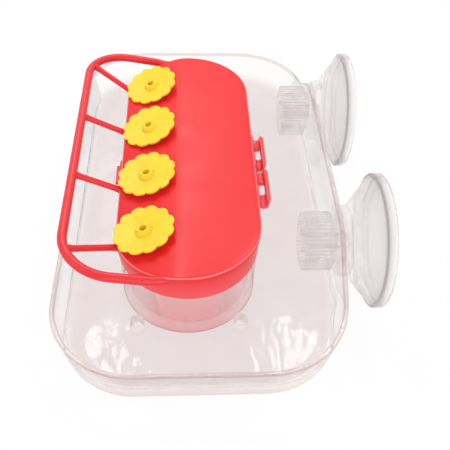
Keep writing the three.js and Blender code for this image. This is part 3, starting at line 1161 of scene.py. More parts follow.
        # Painted shade along the rim's edges and the foot.
        Mark.LINE.put(tray, line)
        combine(tray, self.posts(), Joining.ADD)
        bore = bar(self.hole / 2, *self.hole_reach)
        holes = [turned_piece("hole", bore, cup, TOWARDS_WINDOW) for cup in self.places.cups]
        combine(tray, holes, Joining.CUT)
        height = points_of(tray)[:, 2] - foot[2]
        # Pale above the floor; the floor keeps the tint that is painted shade and painted red reflection from
        # the lid.
        Mark.SECOND.put(tray, smooth(height, self.floor, self.floor + self.cove))
        return tray

    def dress(self, shop: Workshop) -> None:
        """Builds the tray and gives it its finish."""
        shop.dress(self.build(), Stock.TRAY, "tray", ["tray"], "tray_clear")


@dataclass
class SuctionMount:
    """A soft suction cup, the screw stud moulded into it, and the thumb nut that holds it to the tray."""

    number: int
    origin: np.ndarray
    wall: float = 2.2
    seat_gap: float = 0.2
    depth: float = 18.0
    radius: float = 30.0
    rim: float = 4.0
    rim_step: float = 1.3
    rim_face: float = 2.4
    neck: float = 16.0
    neck_length: float = 3.5
    hollow_bend: float = 20.0
    crown: float = 2.4
    line_width: tuple[float, float] = (0.7, 2.2)
    shank: float = 3.0
    bore_gap: float = 0.3
    head_depth: float = 4.6
    head_thickness: float = 2.4
    stud_short: float = 2.5
    stud_end: float = 0.6
    thread_pitch: float = 1.0
    thread_depth: float = 0.45
    thread_start: tuple[float, float] = (0.4, 1.4)
    thread_end: tuple[float, float] = (-1.2, 0.2)
    nut: float = 13.1
    nut_length: float = 14.4
    flutes: int = 48
    flute_depth: float = 0.35
    flute_start: tuple[float, float] = (-0.9, -0.1)
    flute_line: int = 4
    stud_crease: float = 60.0
    nut_crease: float = 50.0
    collar: float = 10.0
    collar_length: float = 1.6
    recess: float = 9.5
    recess_depth: float = 7.0
    boss: float = 5.3
    cup_facets: int = 144
    hollow_steps: int = 28
    pitch_steps: int = 9
    flute_facets: int = 8

    @property
    def bore(self) -> float:
        """Radius of the bores that the stud's shank goes through."""
        return self.shank + self.bore_gap

    @property
    def bearing(self) -> float:
        """Height of the nut's bearing face, inside the tray's wall."""
        return -self.wall - self.seat_gap

    @property
    def joint(self) -> np.ndarray:
        """Radius and height of the line where the cup's cone meets its rim flange."""
        return np.array([self.radius - self.rim_step, self.depth - self.rim])

    def cup(self) -> Sheet:
        """Turns the cup about its axis: bore for the stud's shank, neck, cone, rim flange and hollow.

        The hollow follows a quadratic curve from the rim to its crown. The stud's head is moulded in, so no
        pocket shows round it.

        Returns:
            The closed cup.
        """
        bottom = self.head_depth + self.bore_gap
        face = self.radius - self.rim_face
        outside = rounded(
            [
                (0, bottom, 0),
                (self.bore, bottom, 0.3),
                (self.bore, self.seat_gap, 0.3),
                (self.neck, self.seat_gap, 0.9),
                (self.neck, self.neck_length, 1.2),
                (*(self.joint - 1), 0),
                (*self.joint, 0.3),
                (self.radius, self.depth - self.rim, 0.6),
                (self.radius, self.depth, 0.9),
                (face, self.depth, 0),
            ]
        )
        t = np.linspace(0, 1, self.hollow_steps)[1:, None]
        top = bottom + self.head_thickness + self.crown
        start, bend, end = np.array([(face, self.depth), (self.hollow_bend, top), (0, top)])
        hollow = (1 - t) ** 2 * start + 2 * t * (1 - t) * bend + t**2 * end
        return Sheet.around(turned(np.vstack([outside, hollow]), self.cup_facets))

    def stud(self) -> Sheet:
        """Turns the stud's shank about its axis, with a ridge that winds round it.

        The shank's radius is dented by half the thread's depth times one plus the cosine of the turn that the
        height has made at the thread's pitch, less the angle.

        Returns:
            The closed stud.
        """
        free, top, end = self.bearing - self.nut_length + self.stud_short, self.head_depth, self.stud_end
        heights = np.arange(free + end, top - end, self.thread_pitch / self.pitch_steps)
        shank = np.stack([np.full(len(heights), self.shank), heights], axis=-1)
        tip = rounded([(0, free, 0), (self.shank, free, 0.55), (self.shank, free + end, 0)])[:-1]
        cap = rounded([(self.shank, top - 0.5, 0), (self.shank, top, 0.3), (0, top, 0)])
        profile = np.vstack([tip, shank, cap])
        height = profile[:, 1:]
        threaded = smooth(height - free, *self.thread_start) * (1 - smooth(height, *self.thread_end))
        ridge = 0.5 + 0.5 * np.cos(TAU * height / self.thread_pitch - around_axis(SMALL_FACETS))
        return Sheet.around(turned(profile, SMALL_FACETS, self.thread_depth * threaded * ridge))

    def thumb_nut(self) -> tuple[Sheet, np.ndarray]:
        """Turns the nut about its axis, with flutes along its grip and a boss inside its hollow end.

        Each flute dents the grip by its depth times half of one less the cosine of the angle times the
        flutes.

        Returns:
            The closed nut, and how far each point lies down a flute.
        """
        free, shoulder = self.bearing - self.nut_length, self.bearing - self.collar_length
        floor = free + self.recess_depth
        profile = rounded(
            [
                (self.nut, free, 0.8),
                (self.nut, shoulder, 0.6),
                (self.collar, shoulder, 0.2),
                (self.collar, self.bearing, 0.3),
                (self.bore, self.bearing, 0.3),
                (self.bore, free, 0.4),
                (self.boss, free, 0.4),
                (self.boss, floor, 0.3),
                (self.recess, floor, 0.5),
                (self.recess, free, 0.5),
            ],
            closed=True,
        )
        facets = self.flutes * self.flute_facets
        grip = smooth(profile[:, :1] - self.nut, *self.flute_start)
        valley = grip * (0.5 - 0.5 * np.cos(self.flutes * around_axis(facets)))
        return Sheet.around(turned(profile, facets, self.flute_depth * valley), loop=True), valley

    def placed(self, name: str, sheet: Sheet) -> Piece:
        """Makes a piece of the mount, with its axis towards the window."""
        return make_piece(f"{name}_{self.number}", [sheet.moved(self.origin, TOWARDS_WINDOW)])

    def dress(self, shop: Workshop) -> None:
        """Builds the cup, stud and nut and gives them their finishes.

        Args:
            shop: Where it is finished.
        """
        n = self.number
        cup = self.placed("cup", self.cup())
        offset = points_of(cup) - self.origin
        off_axis = np.linalg.norm(offset[:, 1:], axis=1)
        off_joint = np.hypot(off_axis - self.joint[0], offset[:, 0] - self.joint[1])
        # Painted shade: a dark ring where the cone meets the rim flange.
        Mark.LINE.put(cup, 1 - smooth(off_joint, *self.line_width))
        shop.dress(cup, Stock.CUP, "tray", [f"suction_cup_{n}"], "cup_clear")
        stud = self.placed("stud", self.stud())
        shop.dress(stud, Stock.FITTING, "tray", [f"cup_stud_{n}"], "fitting_clear", self.stud_crease)
        sheet, valley = self.thumb_nut()
        nut = self.placed("nut", sheet)
        # Painted shade down the valleys of the flutes.
        Mark.LINE.put(nut, valley**self.flute_line)
        shop.dress(nut, Stock.FITTING, f"nut_{n}", [f"thumb_nut_{n}"], "fitting_clear", self.nut_crease)


@dataclass
class Hinge:
    """Sizes of the hinge that the reservoir and the lid share, from the reservoir's seat."""

    x: float = RESERVOIR_SIDE + HINGE_REACH
    z: float = 26.0
    pin: float = 1.4
    gap: float = 0.3
    hook_length: float = 22.2
    hook_wall: float = 1.7
    hook_rise: float = 1.6
    hook_drop: float = 1.2
    hook_chamfer: float = 1.5
    window: float = 8.0
    lug: float = 2.3
    lug_thickness: float = 2.0

    @property
    def lug_step(self) -> float:
        """Distance from one lug's middle to the next."""
        return self.lug_thickness + 2 * self.gap + self.hook_length

    @property
    def hook_start(self) -> float:
        """Where a hook starts, from the middle lug's middle."""
        return self.lug_thickness / 2 + self.gap


@dataclass
class Reservoir:
    """The clear nectar box, with its narrower neck, hinge lugs, pin and catch rib."""

    places: Places
    hinge: Hinge
    outline: Outline = field(default_factory=Outline)
    side: float = RESERVOIR_SIDE
    height: float = 30.3
    wall: float = 2.6
    floor: float = 2.2
    foot_recess: float = 1.0
    cove: float = 2.6
    plate_margin: float = 5.0
    neck_inset: float = 1.3
    step: float = 24.4
    rib_length: float = 9.0
    rib_reach: float = 0.7
    rib_below: float = 1.5
    lug_depth: float = 6.5
    lug_toe: float = math.radians(30)
    lug_root: float = 0.6
    pale_from: float = 9.0
    pale_share: float = 0.75
    line_width: tuple[float, float] = (0.4, 1.2)
    pin_facets: int = 32
    rib_facets: int = 24

    @property
    def base(self) -> float:
        """Height of the floor's upper side."""
        return self.foot_recess + self.floor

    def shell(self) -> list[Sheet]:
        """Carries the wall's section round the outline, and covers the floor above and below.

        Returns:
            Sheets that close one another.
        """
        well, neck = self.side - self.wall, self.side - self.neck_inset
        inner = well - self.plate_margin
        section = rounded(
            [
                (inner, self.foot_recess, 0),
                (well - 0.6, self.foot_recess, 0.5),
                (well, 0, 0.5),
                (self.side, 0, 0.9),
                (self.side, self.step, 0.35),
                (neck, self.step, 0.25),
                (neck, self.height, 0.6),
                (well, self.height, 0.6),
                (well, self.base, self.cove),
                (inner, self.base, 0),
            ]
        )
        rings = np.stack([lifted(self.outline.loop(half_width), z) for half_width, z in section])
        plates = [Sheet.patch(lifted(self.outline.grid(inner), z)) for z in (self.foot_recess, self.base)]
        return [Sheet.around(rings), *plates]

    def fittings(self) -> list[Piece]:
        """Makes the hinge's lugs and pin and the catch rib.

        Returns:
            Solids to add to the shell.
        """
        seat, hinge = self.places.seat, self.hinge
        root = self.side - self.lug_root
        toe = hinge.lug * np.array([math.cos(self.lug_toe), -math.sin(self.lug_toe)])
        gusset = rounded(
            [
                (root, hinge.z - self.lug_depth, 0),
                (hinge.x + toe[0], hinge.z + toe[1], 0.6),
                (hinge.x, hinge.z, 0),
                (root, self.step - 0.4, 0),
            ],
            closed=True,
        )
        half, axis = hinge.lug_thickness / 2, seat + (hinge.x, 0, hinge.z)
        eye = bar(hinge.lug, -half, half, 0.2)
        solids = []
        for offset in (-hinge.lug_step, 0.0, hinge.lug_step):
            web = drawn_along_y(gusset, offset - half, offset + half)
            solids.append(make_piece("gusset", [web.moved(seat)]))
            solids.append(turned_piece("eye", eye, axis + (0, offset, 0), ALONG_TRAY))
        pin = bar(hinge.pin, -hinge.lug_step, hinge.lug_step)
        solids.append(turned_piece("pin", pin, axis, ALONG_TRAY, self.pin_facets))
        rib = bar(self.rib_reach, -self.rib_length / 2, self.rib_length / 2, 0.4)
        catch = seat + (-self.side, 0, self.step - self.rib_below)
        solids.append(turned_piece("rib", rib, catch, ALONG_TRAY, self.rib_facets))
        return solids

    def dress(self, shop: Workshop) -> None:
        """Builds the reservoir, marks its pale walls and sides, which leave painted red light from the lid on
        its floor, and painted shade along the edge of its foot, and gives it its finish.

        Args:
            shop: Where it is finished.
        """
        piece = make_piece("reservoir_box", [sheet.moved(self.places.seat) for sheet in self.shell()])
        combine(piece, self.fittings(), Joining.ADD)
        x, y, height = (points_of(piece) - self.places.seat).T
        above_floor = smooth(height, self.base, self.base + self.cove)
        outwards = smooth(np.abs(x), self.pale_from, self.side)
        # Pale walls and sides; the pink left on the floor and down the middle is painted red light from the
        # lid.
        Mark.SECOND.put(piece, np.maximum(above_floor, self.pale_share * outwards))
        off_edge = np.hypot(self.outline.edge_reach(x, y) - self.side, height)
        # Painted shade along the edge of the foot.
        Mark.LINE.put(piece, 1 - smooth(off_edge, *self.line_width))
        shop.dress(piece, Stock.RESERVOIR, "reservoir", ["reservoir"], "reservoir_clear")


@dataclass
class Lid:
    """The red lid: sloped top with an overhanging lip, skirt, hinge hooks and latch tab."""

    places: Places
    hinge: Hinge
    top: float = 38.733
    plate: float = 2.037
    slope: float = math.radians(11)
    crease: float = 3.3
    crease_round: float = 3.0
    skirt_bottom: float = 24.8
    skirt: float = 30.2
    wall: float = 1.2
    lip: float = 30.9
    lip_height: float = 3.5
    top_margin: float = 3.0
    under_margin: float = 4.0
    flower_offset: float = 14.5
    hole: float = 3.8
    hole_reach: tuple[float, float] = (-4.0, 2.0)
    hook_root: float = 0.4
    hook_turn: float = math.radians(200)
    hook_soft: float = 0.22
    latch_length: float = 12.0
    latch_thickness: float = 1.8
    latch_rise: float = 1.6
    latch_drop: float = 3.2
    latch_inner: float = 30.9
    latch_soft: float = 0.25
    thumb_reach: float = 1.8
    thumb_height: float = 1.6
    painted_light_from: float = 1.5
    painted_light_to: float = 8.0
    line_inset: float = 0.35
    line_width: tuple[float, float] = (0.1, 0.5)
    crease_columns: tuple[float, ...] = (-1.6, -0.8, 0.0, 0.8, 1.6)
    crease_clear: float = 0.05
    hook_steps: int = 25

    def outline(self) -> Outline:
        """Draws the plan, with columns set close about the crease in place of the even ones there.

        Returns:
            The plan.
        """
        places = np.array(self.crease_columns) * self.crease_round - self.crease
        creases = np.arcsin(places / (self.lip - self.top_margin))
        even = Outline().angles
        clear = np.abs(even - np.median(creases)) > self.crease_clear
        return Outline(np.sort(np.concatenate([even[clear], creases])))

    def roof(self, x: np.ndarray) -> np.ndarray:
        """Gives the height of the lid's top: level, then falling away past a rounded crease.

        The fall is the slope times the mean of the distance past the crease and its length with the rounding.

        Args:
            x: Places across the lid, from the seat.

        Returns:
            The height at each place.
        """
        past = -self.crease - x
        return self.top - math.tan(self.slope) * (past + np.sqrt(past**2 + self.crease_round**2)) / 2

    def shell(self, outline: Outline) -> list[Sheet]:
        """Carries the section of skirt and lip round the outline, and covers it above and below.

        Rings near the top keep their depth under the sloped roof, and rings near the foot keep their height.

        Args:
            outline: The plan.

        Returns:
            Sheets that close one another.
        """
        inner = self.skirt - self.wall
        under_edge, top_edge = inner - self.under_margin, self.lip - self.top_margin
        ceiling = -self.plate
        under = rounded([(under_edge, ceiling, 0), (inner, ceiling, 0.8), (inner, ceiling - 1.2, 0)])
        foot = rounded([(inner, 1.5, 0), (inner, 0, 0.35), (self.skirt, 0, 0.35), (self.skirt, 1.5, 0)])
        edge = rounded(
            [
                (self.skirt, -self.lip_height - 0.8, 0),
                (self.skirt, -self.lip_height, 0.3),
                (self.lip, -self.lip_height, 0.6),
                (self.lip, 0, 1.2),
                (top_edge, 0, 0),
            ]
        )
        rings = []
        for section, hangs in ((under, True), (foot, False), (edge, True)):
            for half_width, height in section:
                plan = outline.loop(half_width)
                rings.append(lifted(plan, height + (self.roof(plan[:, 0]) if hangs else self.skirt_bottom)))
        plates = []
        for half_width, depth in ((under_edge, self.plate), (top_edge, 0.0)):
            plan = outline.grid(half_width)
            plates.append(Sheet.patch(lifted(plan, self.roof(plan[..., 0]) - depth)))
        return [Sheet.around(np.stack(rings)), *plates]

    def hook(self, near: float) -> Piece:
        """Makes a hook, open upwards, that cradles the hinge's pin, with a window in its floor.

        Args:
            near: Where it starts along the tray, from the seat.

        Returns:
            The solid.
        """
        hinge = self.hinge
        inner = hinge.pin + hinge.gap
        outer = inner + hinge.hook_wall
        root = self.skirt - self.hook_root - hinge.x
        out_turn = np.linspace(self.hook_turn, TAU, self.hook_steps)
        in_turn = np.linspace(TAU, TAU / 2, self.hook_steps)
        profile = np.vstack(
            [
                [(root, hinge.hook_rise), (root, -hinge.hook_drop)],
                outer * heading(out_turn),
                [(outer, hinge.hook_rise), (inner, hinge.hook_rise)],
                inner * heading(in_turn),
                [(-inner, hinge.hook_rise)],
            ]
        )
        axis = self.places.seat + (hinge.x, 0, hinge.z)
        far = near + hinge.hook_length
        hook = make_piece("hook", [drawn_along_y(profile, near, far).moved(axis)])
        centre, half = (near + far) / 2, hinge.window / 2
        below, back, past = -outer - 1, outer - hinge.hook_chamfer, outer + 1
        opening = np.array([(-inner, below), (inner, below), (inner, 0), (-inner, 0)])
        cuts = [make_piece("window", [drawn_along_y(opening, centre - half, centre + half).moved(axis)])]
        for end, slant in ((near, hinge.hook_chamfer + 1), (far, -hinge.hook_chamfer - 1)):
            wedge = np.array([(back, end), (past, end), (past, end + slant)])
            rings = np.stack([lifted(wedge, z) for z in (below, hinge.hook_rise + 1)])
            cuts.append(make_piece("wedge", [Sheet.around(rings, caps=True).moved(axis)]))
        combine(hook, cuts, Joining.CUT)
        soften(hook, self.hook_soft)
        return hook

    def latch(self) -> Piece:
        """Makes the latch tab, drawn along the tray, with a thumb lip along its lower edge.

        Returns:
            The solid.
        """
        inner, outer = -self.latch_inner, -self.latch_inner - self.latch_thickness
        thumb = outer - self.thumb_reach
        low, high = self.skirt_bottom - self.latch_drop, self.skirt_bottom + self.latch_rise
        root = -self.skirt + self.wall / 2
        profile = rounded(
            [
                (root, high, 0),
                (outer, high, 0.7),
                (outer, low + self.thumb_height, 0.3),
                (thumb, low + self.thumb_height, 0.5),
                (thumb, low, 0.5),
                (inner, low, 0.4),
                (inner, self.skirt_bottom, 0),
                (root, self.skirt_bottom, 0),
            ],
            closed=True,
        )
        half = self.latch_length / 2
        latch = make_piece("latch", [drawn_along_y(profile, -half, half).moved(self.places.seat)])
        soften(latch, self.latch_soft)
        return latch

    def flower_seat(self, y: float) -> np.ndarray:
        """Gives the place on the lid's slope that a flower stands on.

        Args:
            y: The flower's place along the tray.

        Returns:
            The seat.
        """
        x = -self.crease - self.flower_offset
        z = self.top - self.flower_offset * math.tan(self.slope)
        return np.array([self.places.seat[0] + x, y, self.places.seat[2] + z])

    def build(self) -> Piece:
        """Makes the lid with its hooks, latch and flower holes, and marks painted light through its skirt and
        a painted highlight along its lip's edge.

        Returns:
            The piece.
        """
        outline, start = self.outline(), self.hinge.hook_start
        lid = make_piece("lid_moulding", [sheet.moved(self.places.seat) for sheet in self.shell(outline)])
        hooks = [self.hook(start), self.hook(-start - self.hinge.hook_length)]
        combine(lid, [*hooks, self.latch()], Joining.ADD)
        bore, axes = bar(self.hole, *self.hole_reach), slope_axes(self.slope)
        holes = [turned_piece("hole", bore, self.flower_seat(y), axes) for y in self.places.flowers]
        combine(lid, holes, Joining.CUT)
        x, y, z = (points_of(lid) - self.places.seat).T
        depth = self.roof(x) - z
        # Painted light showing through the skirt, paler further below the roof.
        Mark.SECOND.put(lid, smooth(depth, self.painted_light_from, self.painted_light_to))
        # Painted highlight along the lip's top edge.
        off_line = np.hypot(outline.edge_reach(x, y) - self.lip + self.line_inset, depth - self.line_inset)
        Mark.LINE.put(lid, 1 - smooth(off_line, *self.line_width))
        return lid

    def dress(self, shop: Workshop) -> None:
        """Builds the lid and gives it its finish."""
        shop.dress(self.build(), Stock.LID, "lid", ["lid_cover"], "lid_red")


@dataclass
class Perch:
    """The raised red rail round the lid's open side, and its four struts."""

    places: Places
    lid: Lid
    radius: float = 2.0
    outer_x: float = -50.6
    half_length: float = 76.2
    corner: float = 20.0
    slope: float = math.radians(9.9)
    below_top: float = 4.8
    end_x: float = 9.0
    end_thinning: float = 0.45
    blend_from: float = -17.0
    strut: float = 1.4
    strut_flare: float = 0.35
    strut_root: float = 1.2
    strut_feet: tuple[float, ...] = (-54.6, -20.3, 20.3, 54.6)
    strut_heads: tuple[float, ...] = (-64.0, -20.7, 20.7, 64.0)
    leg_steps: int = 60
    corner_steps: int = 26
    run_steps: int = 31
    rail_sides: int = 28
    strut_steps: int = 40
    strut_sides: int = 24

    def height(self, x: np.ndarray | float) -> np.ndarray | float:
        """Gives the height of the rail's axis, which rises evenly away from the lid."""
        return self.lid.top - self.below_top - (x + self.lid.crease) * math.tan(self.slope)

    def rail(self) -> Sheet:
        """Carries a circle along the rail: end inside the lid's lip, leg, corner, outer run, and back again.

        Towards each end the rail bears round with the lip, rises to the middle of the lip's edge and takes on
        its thickness, so that rail and lip run into one another.

        Returns:
            The closed rail.
        """
        bead = self.lid.lip_height / 2
        turn_x, turn_y = self.outer_x + self.corner, self.half_length - self.corner
        leg = np.linspace(self.end_x, turn_x, self.leg_steps)
        arc = np.linspace(0, QUARTER, self.corner_steps)[1:-1]
        run = np.linspace(turn_y, 0, self.run_steps)
        melt = smooth(leg, self.blend_from, 0)
        lip_y = RESERVOIR_RUN + np.sqrt(np.maximum(0, (self.lid.lip - bead) ** 2 - leg**2))
        leg_y = self.half_length + melt * (lip_y - self.half_length)
        leg_z = self.height(leg) + melt * (self.lid.roof(leg) - bead - self.height(leg))
        thinning = self.end_thinning * smooth(leg, 0, self.end_x)
        leg_radius = self.radius + melt * (bead - self.radius) - thinning
        bend_x = np.concatenate([turn_x - self.corner * np.sin(arc), np.full(len(run), self.outer_x)])
        bend_y = np.concatenate([turn_y + self.corner * np.cos(arc), run])
        bend_radius = np.full(len(bend_x), self.radius)
        legs = np.stack([leg, leg_y, leg_z, leg_radius], axis=-1)
        bends = np.stack([bend_x, bend_y, self.height(bend_x), bend_radius], axis=-1)
        far = np.concatenate([legs, bends])
        path = np.concatenate([far, far[-2::-1] * (1, -1, 1, 1)])
        return rod(path[:, :3], path[:, 3], self.rail_sides)

    def strut_rod(self, foot: float, head: float) -> Sheet:
        """Carries a circle along a strut from the lid's edge to the rail, flared where it meets each.

        The flare shrinks by the exponential of the distance from the lid and from the rail, in millimetres.

        Args:
            foot: Place of the strut along the lid's edge, from the seat.
            head: Place of the strut along the rail.

        Returns:
            The closed strut.
        """
        lip, root = self.lid.lip, self.strut_root
        past_lid = max(0.0, abs(foot) - RESERVOIR_RUN)
        past_rail = max(0.0, abs(head) - self.half_length + self.corner)
        edge_height = float(self.lid.roof(np.array(-lip))) - self.lid.lip_height / 2
        start = np.array([root - math.sqrt(lip**2 - past_lid**2), foot, edge_height])
        far_x = self.outer_x + self.corner - math.sqrt(self.corner**2 - past_rail**2)
        end = np.array([far_x, head, self.height(far_x)])
        share = np.linspace(0, 1, self.strut_steps)
        length = np.linalg.norm(end - start)
        from_lid = np.maximum(0, share * length - root)
        from_rail = np.maximum(0, (1 - share) * length - self.radius)
        flare = self.strut_flare * (np.exp(-from_lid) + np.exp(-from_rail))
        return rod(start + share[:, None] * (end - start), self.strut + flare, self.strut_sides)

    def dress(self, shop: Workshop) -> None:
        """Builds the rail and its struts and gives them their finish.

        Args:
            shop: Where it is finished.
        """
        seat = self.places.seat
        rail = make_piece("perch_hoop", [self.rail().moved(seat)])
        shop.dress(rail, Stock.PERCH, "lid", ["perch_rail"], "perch_red")
        for i, (foot, head) in enumerate(zip(self.strut_feet, self.strut_heads), start=1):
            strut = make_piece(f"perch_stay_{i}", [self.strut_rod(foot, head).moved(seat)])
            shop.dress(strut, Stock.PERCH, "lid", [f"perch_strut_{i}"], "perch_red")


@dataclass
class FlowerPort:
    """A yellow flower port: scalloped dish, nub with the feeding hole, collar and plug."""

    number: int
    seat: np.ndarray
    slope: float
    lean: tuple[float, float]
    radius: float = 13.4
    petals: int = 12
    petal_from: float = 5.0
    petal_power: float = 1.5
    parting_power: float = 0.8
    notch: float = 1.4
    valley: float = 0.35
    thickness: float = 1.3
    lift: float = 1.0
    rise: float = 1.6
    collar: float = 4.5
    gap: float = 0.3
    plug: float = 3.5
    plug_end: float = -7.0
    nub: float = 3.5
    nub_top: float = 2.5
    nub_foot: float = 0.7
    nub_height: float = 2.2
    port: float = 1.6
    lining: float = 0.1
    step: float = 0.7
    petal_facets: int = 16

    def section(self) -> np.ndarray:
        """Draws the port's section: feeding hole, plug, collar, dish and nub.

        Returns:
            Radius and height of each point, a row each.
        """
        base = self.lift + self.thickness
        tip = self.lift + self.rise
        top = base + self.nub_height
        profile = rounded(
            [
                (self.port, top, 0.35),
                (self.port, self.plug_end, 0.3),
                (self.plug, self.plug_end, 0.7),
                (self.plug, self.gap, 0.1),
                (self.collar, self.gap, 0.2),
                (self.collar, self.lift, 0.25),
                (self.radius, tip, 0.5),
                (self.radius, tip + self.thickness, 0.6),
                (self.nub + self.nub_foot, base + 0.02, 0.6),
                (self.nub, base + 0.2, 0.25),
                (self.nub_top, top, 0.45),
            ],
            closed=True,
        )
        return refined(profile, self.step)

    def shape(self) -> tuple[Sheet, np.ndarray]:
        """Turns the port's section about its axis, with petals round the dish.

        Towards the dish's edge the radius shrinks by the notch, and the dish sinks by the valley, times one
        less the size of the sine of half the angle times the petals.

        Returns:
            The closed port, and which of its points line the feeding hole.
        """
        section = self.section()
        facets = self.petals * self.petal_facets
        parting = 1 - np.abs(np.sin(self.petals * around_axis(facets) / 2)) ** self.parting_power
        outwards = (section[:, :1] - self.petal_from) / (self.radius - self.petal_from)
        weight = np.clip(outwards, 0, 1) ** self.petal_power
        rings = turned(section, facets, self.notch * weight**2 * parting)
        rings[..., 2] -= self.valley * weight * parting
        lining = np.repeat(section[:, 0] < self.port + self.lining, facets)
        return Sheet.around(self.leaned(rings), loop=True), lining

    def leaned(self, rings: np.ndarray) -> np.ndarray:
        """Leans the dish and nub away from the window and towards the near end, and leaves the plug straight.

        Each lean turns a point about the foot of the dish: the offset across becomes itself times the
        angle's cosine less the height times its sine, and the height becomes the offset times the sine plus
        itself times the cosine.

        Args:
            rings: Rings of points about the port's axis.

        Returns:
            The leaned rings.
        """
        share = smooth(rings[..., 2], self.gap, self.lift)
        for across, angle in enumerate(np.radians(self.lean)):
            c, s = np.cos(angle * share), np.sin(angle * share)
            offset, height = rings[..., across], rings[..., 2] - self.lift
            leaned = rings.copy()
            leaned[..., across] = offset * c - height * s
            leaned[..., 2] = self.lift + offset * s + height * c
            rings = leaned
        return rings

    def dress(self, shop: Workshop) -> None:
        """Builds the port and gives it its finish.

        Args:
            shop: Where it is finished.
        """
        sheet, lining = self.shape()
        port = make_piece(f"flower_port_{self.number}", [sheet.moved(self.seat, slope_axes(self.slope))])
        # Painted light inside the feeding hole.
        Mark.SECOND.put(port, lining)
        name = f"flower_{self.number}"
        shop.dress(port, Stock.FLOWER, name, [name], "flower_yellow")


# Studio

WHITE = (1.0, 1.0, 1.0, 1.0)


def stand(name: str, data: bpy.types.ID, eye: np.ndarray, axes: Sequence[np.ndarray]) -> Piece:
    """Puts a lamp or camera up.

    Args:
        name: Its name.
        data: The lamp's light or the camera's lens.
        eye: Where it stands, in metres.
        axes: Directions of its X, its Y and of the back of its view.

    Returns:
        The object.
    """
    thing = bpy.data.objects.new(name, data)
    turn = Matrix(np.column_stack(axes).tolist()).to_4x4()
    thing.matrix_world = Matrix.Translation(eye.tolist()) @ turn
    bpy.context.scene.collection.objects.link(thing)
    return thing


def rays_of(tree: Tree, *kinds: str) -> Socket:
    """Adds nodes that tell whether a ray is of any of some kinds.

    Args:
        tree: Where they go.
        kinds: The kinds, as a light path names them.

    Returns:
        The socket with 1 for such a ray and 0 for others.
    """
    path = tree.nodes.new("ShaderNodeLightPath")
    found: Source = 0.0
    for kind in kinds:
        found = worked_out(tree, "MAXIMUM", path.outputs[kind], found)
    return found


@dataclass(frozen=True)
class Lamp:
    """A soft square lamp that faces the feeder's middle."""

    name: str
    place: tuple[float, float, float]
    size: float
    watts: float
    aim: tuple[float, float, float] = (0.0, 0.0, 0.03)
    upwards: tuple[float, float, float] = (0.0, 1.0, 0.01)

    def hang(self) -> None:
        """Puts the lamp up, turned to its aim."""
        light = bpy.data.lights.new(self.name, "AREA")
        light.size = self.size
        light.energy = self.watts
        eye = np.array(self.place)
        back = eye - self.aim
        back /= np.linalg.norm(back)
        right = np.cross(self.upwards, back)
        right /= np.linalg.norm(right)
        stand(self.name, light, eye, [right, np.cross(back, right), back])


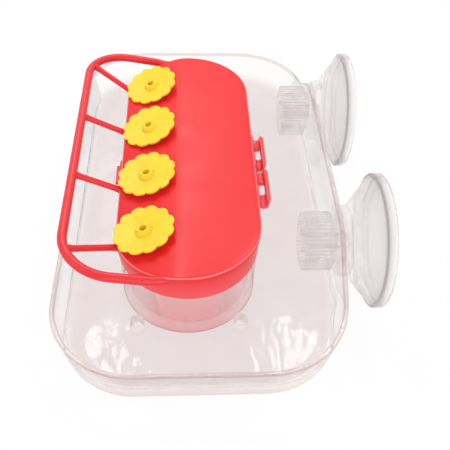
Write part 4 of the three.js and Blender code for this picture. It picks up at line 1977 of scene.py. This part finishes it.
@dataclass
class Studio:
    """The white room: lamps, floor, world and the camera at the photograph's angle."""

    eye: tuple[float, float, float] = (-13.89, -240.13, 245.69)
    pitch: float = math.radians(46.69)
    yaw: float = math.radians(4.72)
    roll: float = math.radians(2.98)
    lens: float = 52.52
    sensor: float = 36.0
    nearest: float = 0.01
    floor_low: tuple[float, float] = (69.0, 0.0)
    floor_high: tuple[float, float] = (-66.8, 5.0)
    floor_half: float = 3000.0
    floor_white: tuple[float, float, float, float] = (0.97, 0.97, 0.97, 1.0)
    floor_roughness: float = 0.9
    floor_glow: float = 0.92
    ambient: float = 0.58
    lamps: tuple[Lamp, ...] = (
        Lamp("key_lamp", (0.35, -0.3, 0.75), 0.6, 0.35),
        Lamp("fill_lamp", (-0.6, -0.3, 0.5), 0.6, 1.15),
        Lamp("front_lamp", (0.2, -0.75, 0.3), 0.5, 1.6),
        Lamp("left_window", (-0.115, 0.267, 0.55), 0.052, 0.46),
        Lamp("right_window", (0.125, 0.283, 0.55), 0.052, 0.46),
        Lamp("back_window", (-0.06, 0.5, 0.52), 0.16, 0.5),
    )

    def camera(self) -> None:
        """Sets the camera up: forward turned by yaw and pitch, then rolled about itself."""
        sp, cp, sy, cy = math.sin(self.pitch), math.cos(self.pitch), math.sin(self.yaw), math.cos(self.yaw)
        forward = np.array([sy * cp, cy * cp, -sp])
        right = np.array([cy, -sy, 0.0])
        up = np.cross(right, forward)
        c, s = math.cos(self.roll), math.sin(self.roll)
        lens = bpy.data.cameras.new("photo_camera")
        lens.lens = self.lens
        lens.sensor_width = self.sensor
        lens.clip_start = self.nearest
        axes = [c * right + s * up, c * up - s * right, -forward]
        bpy.context.scene.camera = stand("photo_camera", lens, np.array(self.eye) * MM, axes)

    def world(self) -> None:
        """Makes the room white to the eye, in glass and in gloss, and dimmer as light on the feeder.

        Its strength is the ambient light plus, for rays that show the room, what is missing to 1.
        """
        world = bpy.data.worlds.new("white_room")
        world.use_nodes = True
        tree = world.node_tree
        background = tree.nodes["Background"]
        shown = rays_of(tree, "Is Camera Ray", "Is Transmission Ray", "Is Glossy Ray")
        strength = worked_out(tree, "MULTIPLY_ADD", shown, 1 - self.ambient, self.ambient)
        feed_all(tree, background, {"Strength": strength, "Color": WHITE})
        bpy.context.scene.world = world

    def floor_material(self) -> Material:
        """Makes a white that glows to the eye and in glass, so that only a soft share of a shadow is left.

        Returns:
            The material.
        """
        material = bpy.data.materials.new("white_floor")
        material.use_nodes = True
        tree = material.node_tree
        shader = tree.nodes["Principled BSDF"]
        feed_all(tree, shader, {"Base Color": self.floor_white, "Roughness": self.floor_roughness})
        glow = tree.nodes.new("ShaderNodeEmission")
        seen = rays_of(tree, "Is Camera Ray", "Is Transmission Ray")
        share = worked_out(tree, "MULTIPLY", seen, self.floor_glow)
        mix = tree.nodes.new("ShaderNodeMixShader")
        for socket, source in zip(mix.inputs, (share, shader.outputs[0], glow.outputs[0])):
            feed(tree, socket, source)
        feed(tree, tree.nodes["Material Output"].inputs["Surface"], mix.outputs[0])
        return material

    def floor(self) -> None:
        """Lays a white floor that touches the cups and the tray's outer edge."""
        (low_x, low_z), (high_x, high_z) = self.floor_low, self.floor_high
        rise = (high_z - low_z) / (high_x - low_x)
        reach = np.linspace(-self.floor_half, self.floor_half, 3)
        plan = np.stack(np.meshgrid(reach, reach, indexing="ij"), axis=-1)
        floor = make_piece("studio_floor", [Sheet.patch(lifted(plan, low_z + rise * (plan[..., 0] - low_x)))])
        floor.data.materials.append(self.floor_material())

    def set_up(self) -> None:
        """Sets up camera, world, floor and lamps."""
        bpy.context.scene.view_settings.view_transform = "Standard"
        self.camera()
        self.world()
        self.floor()
        for lamp in self.lamps:
            lamp.hang()


def main() -> None:
    """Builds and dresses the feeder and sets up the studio."""
    logging.basicConfig(level=logging.INFO, format="%(name)s: %(message)s")
    shop = Workshop()
    places = Places.from_frame()
    hinge = Hinge()
    lid = Lid(places, hinge)
    Tray(places).dress(shop)
    for number, origin in enumerate(places.cups, start=1):
        SuctionMount(number, origin).dress(shop)
    Reservoir(places, hinge).dress(shop)
    lid.dress(shop)
    Perch(places, lid).dress(shop)
    for number, (y, lean) in enumerate(zip(places.flowers, FLOWER_LEANS), start=1):
        FlowerPort(number, lid.flower_seat(y), lid.slope, lean).dress(shop)
    Studio().set_up()


if __name__ == "__main__":
    main()
